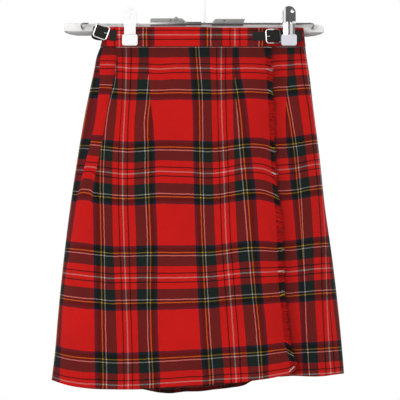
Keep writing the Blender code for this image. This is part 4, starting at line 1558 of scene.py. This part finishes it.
def strand_tree():
    """Bent strands of a few kinds, one at each point, along its away direction."""
    tree, given = new_tree("fringe_strands", {"Length": 0.01, "Radius": 0.0003, "Seed": FRINGE_SEED})
    length, seed = given["Length"], given["Seed"]
    kinds = add_node(tree, "GeometryNodeJoinGeometry")
    section = {"Resolution": 4, "Radius": maths(tree, "DIVIDE", given["Radius"], length)}
    circle = add_node(tree, "GeometryNodeCurvePrimitiveCircle", section).outputs[0]
    for middle, tip in STRAND_BENDS:
        points = {"Resolution": 4, "Start": (0, 0, 0), "Middle": middle, "End": tip}
        bend = add_node(tree, "GeometryNodeCurveQuadraticBezier", points).outputs[0]
        swept = {"Curve": bend, "Profile Curve": circle, "Fill Caps": True}
        strand = add_node(tree, "GeometryNodeCurveToMesh", swept).outputs[0]
        feed(tree, kinds, {0: add_node(tree, "GeometryNodeGeometryToInstance", {0: strand}).outputs[0]})
    wobble = chance(tree, "FLOAT_VECTOR", [-turn for turn in STRAND_TURN], STRAND_TURN, seed)
    wobble_turn = add_node(tree, "FunctionNodeEulerToRotation", {0: wobble}).outputs[0]
    turns = {0: turned_to(tree, point_value(tree, "away", "FLOAT_VECTOR")), 1: wobble_turn}
    turn = add_node(tree, "FunctionNodeRotateRotation", turns, rotation_space="LOCAL").outputs[0]
    size = maths(tree, "MULTIPLY", chance(tree, "FLOAT", *STRAND_LENGTHS, seed), length)
    placed = {
        "Points": given["Geometry"],
        "Instance": kinds.outputs[0],
        "Pick Instance": True,
        "Instance Index": chance(tree, "INT", 0, len(STRAND_BENDS) - 1, seed),
        "Rotation": turn,
        "Scale": maths(tree, "MULTIPLY", size, point_value(tree, "reach")),
    }
    strands = add_node(tree, "GeometryNodeInstanceOnPoints", placed).outputs[0]
    return end_tree(tree, strands, "fringe wool")


def stitch_tree(material):
    """Short thread stitches along a curve, end to end with small gaps."""
    tree, given = new_tree("stitches", {"Pitch": 0.003, "Thread": 0.0003, "Gap": 0.25})
    curve = add_node(tree, "GeometryNodeMeshToCurve", {0: given["Geometry"]}).outputs[0]
    steps = {"Curve": curve, "Length": given["Pitch"]}
    spread = add_node(tree, "GeometryNodeCurveToPoints", steps, mode="LENGTH")
    stitch = add_node(tree, "GeometryNodeMeshUVSphere", {"Segments": 6, "Rings": 4, "Radius": 0.5}).outputs[0]
    long = maths(tree, "MULTIPLY", maths(tree, "SUBTRACT", 1.0, given["Gap"]), given["Pitch"])
    sides = {0: long, 1: given["Thread"], 2: given["Thread"]}
    placed = {
        "Points": spread.outputs["Points"],
        "Instance": stitch,
        "Rotation": turned_to(tree, spread.outputs["Tangent"]),
        "Scale": add_node(tree, "ShaderNodeCombineXYZ", sides).outputs[0],
    }
    return end_tree(tree, add_node(tree, "GeometryNodeInstanceOnPoints", placed).outputs[0], material)


# The fringe


def fringe(rows, weft):
    """The over-apron's own weft ends, along its free edge."""
    sizes = bpy.context.scene.kilt_sizes
    rng = np.random.default_rng(PLACING_SEED)
    edge = rows[:, 0]
    away = unit((edge - rows[:, 1]) * (1, 1, 0))
    slant, reach = smooth(FRINGE_SLANT, WAIST_Z - edge[:, 2]).T
    at = np.sort(rng.uniform(0, len(rows) - 1, sizes.strands))

    def between_rows(values):
        """The rows' values at each strand."""
        columns = np.reshape(values, (len(rows), -1)).T
        return np.stack([np.interp(at, np.arange(len(rows)), column) for column in columns], axis=1)

    out = np.stack([away[:, 1], -away[:, 0], np.zeros(len(away))], axis=1)
    root = between_rows(edge) - between_rows(away) * STRAND_SUNK
    root += between_rows(out) * rng.uniform(-STRAND_SPREAD, STRAND_SPREAD, (sizes.strands, 1))
    way = between_rows(away)
    way[:, 2] -= between_rows(slant)[:, 0]
    mesh = bpy.data.meshes.new("over_apron_fringe_strands")
    mesh.from_pydata((root * MM).tolist(), [], [])
    store(mesh, "away", unit(way), "FLOAT_VECTOR")
    store(mesh, "weft", between_rows(weft) * MARK * MM)
    store(mesh, "shade", rng.uniform(*STRAND_SHADES, sizes.strands))
    store(mesh, "reach", between_rows(reach))
    piece = link("over_apron_fringe_strands", mesh)
    inputs = {"Length": sizes.strand_length, "Radius": sizes.strand_radius, "Seed": FRINGE_SEED}
    run_tree(piece, strand_tree(), inputs)
    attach(piece, "root")
    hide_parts("over_apron_fringe")


# Leather


def along_band(places, count, drop, out, back=False):
    """Middle points and up directions of a strip lying along the waistband, through these x places."""
    ends = FORM.station_of(places, (drop,) * len(places), back)
    stations = np.linspace(*ends, count) if count else ends
    middles = FORM.at(stations, float(drop), out(FORM.x(stations, np.full(len(stations), float(drop)))))
    return middles, np.tile((0.0, 0.0, 1.0), (len(middles), 1))


def left_strap(front_y):
    """The left strap leans out past the side fold, turns there and comes back behind the band."""
    start_x, start_z = LEFT_START
    runs = [k * LEFT_STEP for k in range(LEFT_STEPS)]
    straight = [(start_x - run, front_y, start_z + run * math.tan(LEFT_LEAN)) for run in runs]
    end_x, _, end_z = straight[-1]
    behind_band = BAND / 2 + SEAM + STRAP_THICK / 2 + LEFT_BACK_GAP
    behind, _ = along_band(LEFT_BACK_X, 0, LEFT_BACK_DROP, lambda x: np.full(len(x), behind_band), back=True)
    back_y = behind[0][1]
    turn = np.linspace(0, math.pi, LEFT_TURN_POINTS + 2)[1:-1]
    radius = (back_y - front_y) / 2
    bend_x = end_x - LEFT_TURN_REACH * np.sin(turn)
    bend_y = front_y + radius * (1 - np.cos(turn))
    bend_z = end_z - LEFT_TURN_FALL * turn / math.pi
    behind[:, 2] = np.linspace(end_z - LEFT_TURN_FALL - 1, LEFT_BACK_END, len(behind))
    joined = (end_x + 4, back_y, end_z - LEFT_TURN_FALL - 0.5)
    middles = np.array([*straight, *zip(bend_x, bend_y, bend_z), joined, *behind])
    lean = np.zeros(len(middles))
    lean[: len(straight)] = LEFT_LEAN
    lean[len(straight) : len(straight) + len(turn)] = np.linspace(LEFT_LEAN, 0, len(turn))
    return middles, np.stack([np.sin(lean), np.zeros(len(lean)), np.cos(lean)], axis=1)


def strap_section(height, thick):
    """Rounded section of a strap: (up, out), once round."""
    half, edge = height / 2, thick * STRAP_ROUND
    turns = [math.pi / 2 * k / 4 for k in range(5)]
    side = [(half - edge + edge * math.sin(a), thick / 2 - edge + edge * math.cos(a)) for a in turns]
    side += [(up, -out) for up, out in side[::-1]]
    return [*side, *((-up, -out) for up, out in side)]


def leather_strip(name, middles, ups, height, thick):
    """A flat strap swept along its middle line, its edges rounded over and its ends tucked in."""
    way = unit(np.gradient(middles, axis=0))
    outs = np.cross(way, ups)
    tucks = [(0, inset * thick, flat) for inset, flat in STRIP_TUCKS]
    rows = [*tucks, *((k, 0.0, 1.0) for k in range(1, len(middles) - 1))]
    rows += [(-1, -inset, flat) for _, inset, flat in tucks[::-1]]
    up, out = np.array(strap_section(height, thick)).T[..., None]
    rings = []
    for k, inset, flat in rows:
        low = TUCKED_HEIGHT if flat < 1 else 1.0
        rings.append(middles[k] + way[k] * inset + ups[k] * up * low + outs[k] * out * flat)
    points = np.swapaxes(rings, 0, 1)
    return closed_mesh(name, points, tube(*points.shape[:2]), SHARP["leather"])


def stitch_lines(name, middles, ups, across, out):
    """Two lines of edges along a strap, on its outer face, for the stitches."""
    outs = np.cross(unit(np.gradient(middles, axis=0)), ups)
    points = np.concatenate([middles + ups * side + outs * out for side in (across, -across)])
    count = len(middles)
    edges = [(first + k, first + k + 1) for first in (0, count) for k in range(count - 1)]
    mesh = bpy.data.meshes.new(name)
    mesh.from_pydata((points * MM).tolist(), edges, [])
    return link(name, mesh)


def strip(node, middles, ups, height, thick):
    """A strip of leather with its two rows of stitching."""
    dress(leather_strip(node + "_leather", middles, ups, height, thick), "black leather", node)
    seam = stitch_lines(node + "_stitches", middles, ups, height / 2 - STITCH_INSET, thick / 2)
    pitch = bpy.context.scene.kilt_sizes.stitch
    inputs = {"Pitch": pitch, "Thread": STITCH_THREAD * MM, "Gap": STITCH_GAP}
    run_tree(seam, stitch_tree("black thread"), inputs)
    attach(seam, "root")


# Metal and plastic


def eased_copy(node, name, width):
    """The node's solid with its corners rounded over."""
    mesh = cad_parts[node].data.copy()
    mesh.name = name
    work = bmesh.new()
    work.from_mesh(mesh)
    bmesh.ops.transform(work, matrix=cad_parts[node].matrix_world, verts=work.verts)
    bmesh.ops.remove_doubles(work, verts=work.verts, dist=2e-6)
    flat = math.radians(FLAT_WITHIN)
    bmesh.ops.dissolve_limit(work, angle_limit=flat, verts=work.verts, edges=work.edges)
    bmesh.ops.recalc_face_normals(work, faces=work.faces)
    least = math.radians(ROUNDED_PAST)
    sharp = [edge for edge in work.edges if edge.is_manifold and edge.calc_face_angle() > least]
    settings = {"offset": width * MM, "segments": 3, "profile": 0.5, "affect": "EDGES", "clamp_overlap": True}
    bmesh.ops.bevel(work, geom=sharp, **settings)
    bmesh.ops.recalc_face_normals(work, faces=work.faces)
    work.to_mesh(mesh)
    work.free()
    soften(mesh, SHARP["solid"])
    return link(name, mesh)


def press_ridges(piece, middle, sign):
    """Presses the ridges along a clip's jaw into its flat plate, to the front or to the back."""
    places, at_top, at_rod = zip(*JAW_RIDGES)
    cuts = [((0, 0, ROD_Z + height), (0, 0, 1)) for height in JAW_CUTS]
    edges = [middle + place + away for place in places[1:-1] for away in (-RIDGE_HALF, RIDGE_HALF)]
    cuts += [((x, 0, 0), (1, 0, 0)) for x in edges]
    work = bmesh.new()
    work.from_mesh(piece.data)
    for place, way in cuts:
        every = [*work.verts, *work.edges, *work.faces]
        bmesh.ops.bisect_plane(work, geom=every, plane_co=Vector(place) * MM, plane_no=way)
    for vert in work.verts:
        across = vert.co.x / MM - middle
        upper = float(ease((vert.co.z / MM - ROD_Z) / RIDGE_TOP))
        height = upper * np.interp(across, places, at_top) + (1 - upper) * np.interp(across, places, at_rod)
        vert.co.y += sign * height * MM
    work.to_mesh(piece.data)
    work.free()
    piece.data.set_sharp_from_angle(angle=math.radians(SHARP["ridges"]))
    return piece


def domes(name, places, radius, material):
    """Flat round heads on the plates, at these chart places."""
    work = bmesh.new()
    for x, y in places:
        made = bmesh.ops.create_uvsphere(work, u_segments=12, v_segments=8, radius=radius * MM)
        place = (float(mark_x(x)), PLATE_FACE, WAIST_Z - float(mark_drop(y)))
        bmesh.ops.scale(work, vec=(1, DOME_RISE, 1), verts=made["verts"])
        bmesh.ops.translate(work, vec=Vector(place) * MM, verts=made["verts"])
    mesh = bpy.data.meshes.new(name)
    work.to_mesh(mesh)
    work.free()
    mesh.shade_smooth()
    mesh.materials.append(finish(material))
    piece = link(name, mesh)
    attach(piece, "root")


# Operators


class KILT_OT_over_apron(bpy.types.Operator):
    """Hang the over-apron, with its darts, tucks and soft folds."""

    bl_idname = "kilt.over_apron"
    bl_label = "Over-apron"

    def execute(self, context):
        piece, rows, weft = over_apron()
        dress(piece, "tartan twill", "over_apron")
        fringe(rows, weft)
        return {"FINISHED"}


class KILT_OT_under_apron(bpy.types.Operator):
    """Hang the under-apron below the over-apron."""

    bl_idname = "kilt.under_apron"
    bl_label = "Under-apron"

    def execute(self, context):
        piece = dress(under_apron(), "tartan twill", "under_apron")
        return {"FINISHED"}


class KILT_OT_back_pleats(bpy.types.Operator):
    """Press the knife pleats behind."""

    bl_idname = "kilt.back_pleats"
    bl_label = "Back pleats"

    def execute(self, context):
        piece = dress(back_pleats(), "tartan twill", "back_pleats")
        return {"FINISHED"}


class KILT_OT_waistbands(bpy.types.Operator):
    """Fold the three waistbands."""

    bl_idname = "kilt.waistbands"
    bl_label = "Waistbands"

    def execute(self, context):
        middle = BAND_HEIGHT / 2
        start = float(FORM.station_of(FREE_EDGE[0][1] + BAND_START, middle))
        joint = FORM.half_seam(middle)
        left, right = 1 + BACK_SEAM, 2 - BACK_SEAM
        back = FORM.half(middle)[1] / MARK

        def over_warp(station, x):
            return (chart_x(x) - OVER_BAND_PIVOT - np.maximum(station - 1, 0) * back) / BAND_EASE

        def under_warp(station, x):
            return UNDER_BAND_WARP + UNDER_BAND_PIVOT - chart_x(x) - np.maximum(-station, 0) * back

        def back_warp(station, x):
            return (station - left) * back + BACK_WARP

        def back_out(station, x, drop):
            return np.zeros(np.shape(x))

        pads = [f"clip_{side}_{face}_pad_rounded" for side in CLIPS for face in ("front", "back")]
        for part, begin, end, out, columns, warp, held in (
            ("over", start, left - joint, over_out, OVER_BAND_COLUMNS, over_warp, pads),
            ("under", right - 2 + joint, UNDER_END, under_out, UNDER_BAND_COLUMNS, under_warp, pads),
            ("back", left + joint, right - joint, back_out, BACK_BAND_COLUMNS, back_warp, pads[:2]),
        ):
            piece = waistband(f"waistband_{part}_cloth", begin, end, out, columns, warp)
            dress(piece, "tartan twill", f"waistband_{part}")
            line = FORM.at(np.linspace(begin, end, MEASURED_POINTS), middle)
        return {"FINISHED"}


class KILT_OT_leather(bpy.types.Operator):
    """Cut the leather tabs and straps, with rounded edges and stitching."""

    bl_idname = "kilt.leather"
    bl_label = "Leather"

    def execute(self, context):
        def tab_out(x):
            return np.full(len(x), BAND / 2 + SEAM + TAB_THICK / 2)

        def strap_out(x):
            clear = BAND / 2 + SEAM + STRAP_THICK / 2
            return under_out(0.5, x, RIGHT_DROP) + clear + STRAP_LIFT * onset(x, *STRAP_LIFT_ONSET)

        for node, (ends, count, drop, height, thick) in BAND_LEATHER.items():
            out = strap_out if node == "strap_right" else tab_out
            middles, ups = along_band(ends, count, drop, out)
            strip(node, middles, ups, height, thick)
        strip("strap_left", *left_strap(middles[-1][1] - LEFT_PROUD), STRAP_HEIGHT, STRAP_THICK)
        return {"FINISHED"}


class KILT_OT_metal(bpy.types.Operator):
    """Finish the buckles, rod, hook, clips, plates and bar."""

    bl_idname = "kilt.metal"
    bl_label = "Metal and plastic"

    def execute(self, context):
        for side, chrome in (("right", "buckle chrome"), ("left", "bright chrome")):
            repaint(f"buckle_{side}", chrome)
            repaint(f"prong_{side}", chrome)
        repaint("hanger_rod", "rod chrome")
        repaint("hanger_hook", "chrome painted white as lit")
        dress(eased_copy("hook_collar", "hook_sleeve", EASED["collar"]), "sleeve steel", "hook_collar")
        dress(eased_copy("hanger_bar", "hanger_bar_rounded", EASED["bar"]), "bar plastic", "hanger_bar")
        for side in ("left", "right"):
            node = f"hanger_plate_{side}"
            dress(eased_copy(node, f"plate_{side}", EASED["plate"]), "plate steel", node)
        domes("plate_rivets", RIVETS, RIVET_RADIUS, "rivet steel")
        domes("plate_tongue", (TONGUE,), TONGUE_RADIUS, "plate steel")
        # The left clip and its pads are painted white as lit; the right ones keep their chrome and pad colour
        clips = (("left", "chrome painted white as lit", "pad plastic painted white as lit"), ("right", "bright chrome", "pad plastic"))
        for side, jaw_metal, pad_plastic in clips:
            repaint(f"clip_{side}_spring", jaw_metal)
            for face, sign in (("front", -1), ("back", 1)):
                node = f"clip_{side}_{face}_jaw"
                plate = press_ridges(eased_copy(node, node + "_plate", EASED["jaw"]), CLIPS[side], sign)
                dress(plate, jaw_metal, node)
                node = f"clip_{side}_{face}_pad"
                dress(eased_copy(node, node + "_rounded", EASED["pad"]), pad_plastic, node)
        return {"FINISHED"}


class KILT_OT_stage(bpy.types.Operator):
    """Set the floor, the lights, the pale surroundings and the camera."""

    bl_idname = "kilt.stage"
    bl_label = "Stage"

    def execute(self, context):
        settings = context.scene.kilt_stage
        across, down = float(mark_x(CHART_MIDDLE)), float(mark_drop(CHART_MIDDLE))
        centre = Vector((across, 0, WAIST_Z - down)) * MM
        data = bpy.data.cameras.new("camera")
        data.lens = data.sensor_width * settings.camera_distance / settings.view_width
        data.clip_end = 50
        camera = link("camera", data)
        camera.location = centre + Vector((0, -settings.camera_distance - KILT_FRONT, 0))
        camera.rotation_euler = (math.pi / 2, 0, 0)
        context.scene.camera = camera
        self.floor()
        self.lights(centre, settings)
        self.surroundings(context, settings)
        context.scene.view_settings.view_transform = "Standard"
        return {"FINISHED"}

    def floor(self, radius=2.0, height=-1.02, corners=64):
        mesh = bpy.data.meshes.new("floor")
        turns = [2 * math.pi * k / corners for k in range(corners)]
        ring = [(radius * math.cos(turn), radius * math.sin(turn), height) for turn in turns]
        mesh.from_pydata(ring, [], [tuple(range(corners))])
        made, tree, shader = shader_nodes("pale floor")
        feed(tree, shader, {"Base Color": (0.86, 0.86, 0.85, 1), "Roughness": 0.8})
        mesh.materials.append(made)
        link("floor", mesh)

    def lights(self, centre, settings):
        for name, place, size, power in (
            ("key", (-1.3, -2.2, 1.1), 1.4, settings.key_power),
            ("fill", (1.9, -2.2, 0.4), 1.8, settings.fill_power),
            ("back", (0.3, 2.2, 1.2), 1.6, settings.fill_power),
        ):
            data = bpy.data.lights.new(name, "AREA")
            data.shape = "DISK"
            data.size = size
            data.energy = power
            lamp = link(name, data)
            lamp.location = centre + Vector(place)
            lamp.rotation_euler = (centre - lamp.location).to_track_quat("-Z", "Y").to_euler()

    def surroundings(self, context, settings):
        """A pale room, brightest at eye height, and dim behind the camera."""
        world = bpy.data.worlds.new("pale room")
        world.use_nodes = True
        tree = world.node_tree
        tree.nodes.clear()
        way = coordinate(tree, "Generated")
        height = maths(tree, "MULTIPLY_ADD", along(tree, way, 2), 0.5, 0.5)
        greys = ((0.0, 0.50), (0.30, 0.75), (0.42, 1.0), (0.60, 1.0), (0.74, 0.50))
        stops = [*((place, (grey, grey, grey)) for place, grey in greys), (1.0, (0.55, 0.55, 0.56))]
        front = between(tree, along(tree, way, 1), (-0.96, -0.74), (settings.front_level, 1.0))
        room = scaled(tree, ramp_of(tree, height, stops), front)
        glow = add_node(tree, "ShaderNodeBackground", {0: room, "Strength": 1.0})
        add_node(tree, "ShaderNodeOutputWorld", {0: glow.outputs[0]})
        context.scene.world = world


class KILT_PT_panel(bpy.types.Panel):
    bl_label = "Kilt"
    bl_idname = "KILT_PT_panel"
    bl_space_type = "VIEW_3D"
    bl_region_type = "UI"
    bl_category = "Kilt"

    def draw(self, context):
        for group in (context.scene.kilt_sizes, context.scene.kilt_colours, context.scene.kilt_stage):
            box = self.layout.box()
            for name in group.__annotations__:
                box.prop(group, name)
        for step in STEPS:
            self.layout.operator(step.bl_idname)


STEPS = (
    KILT_OT_metal,
    KILT_OT_waistbands,
    KILT_OT_over_apron,
    KILT_OT_under_apron,
    KILT_OT_back_pleats,
    KILT_OT_leather,
    KILT_OT_stage,
)
GROUPS = {"kilt_sizes": KiltSizes, "kilt_colours": KiltColours, "kilt_stage": StageSettings}


def register():
    for made in (*GROUPS.values(), *STEPS, KILT_PT_panel):
        bpy.utils.register_class(made)
    for name, group in GROUPS.items():
        setattr(bpy.types.Scene, name, PointerProperty(type=group))


def unregister():
    for name in GROUPS:
        delattr(bpy.types.Scene, name)
    for made in reversed((*GROUPS.values(), *STEPS, KILT_PT_panel)):
        bpy.utils.unregister_class(made)


def main():
    register()
    for step in STEPS:
        family, name = step.bl_idname.split(".")
        getattr(getattr(bpy.ops, family), name)()


if __name__ == "__main__":
    main()
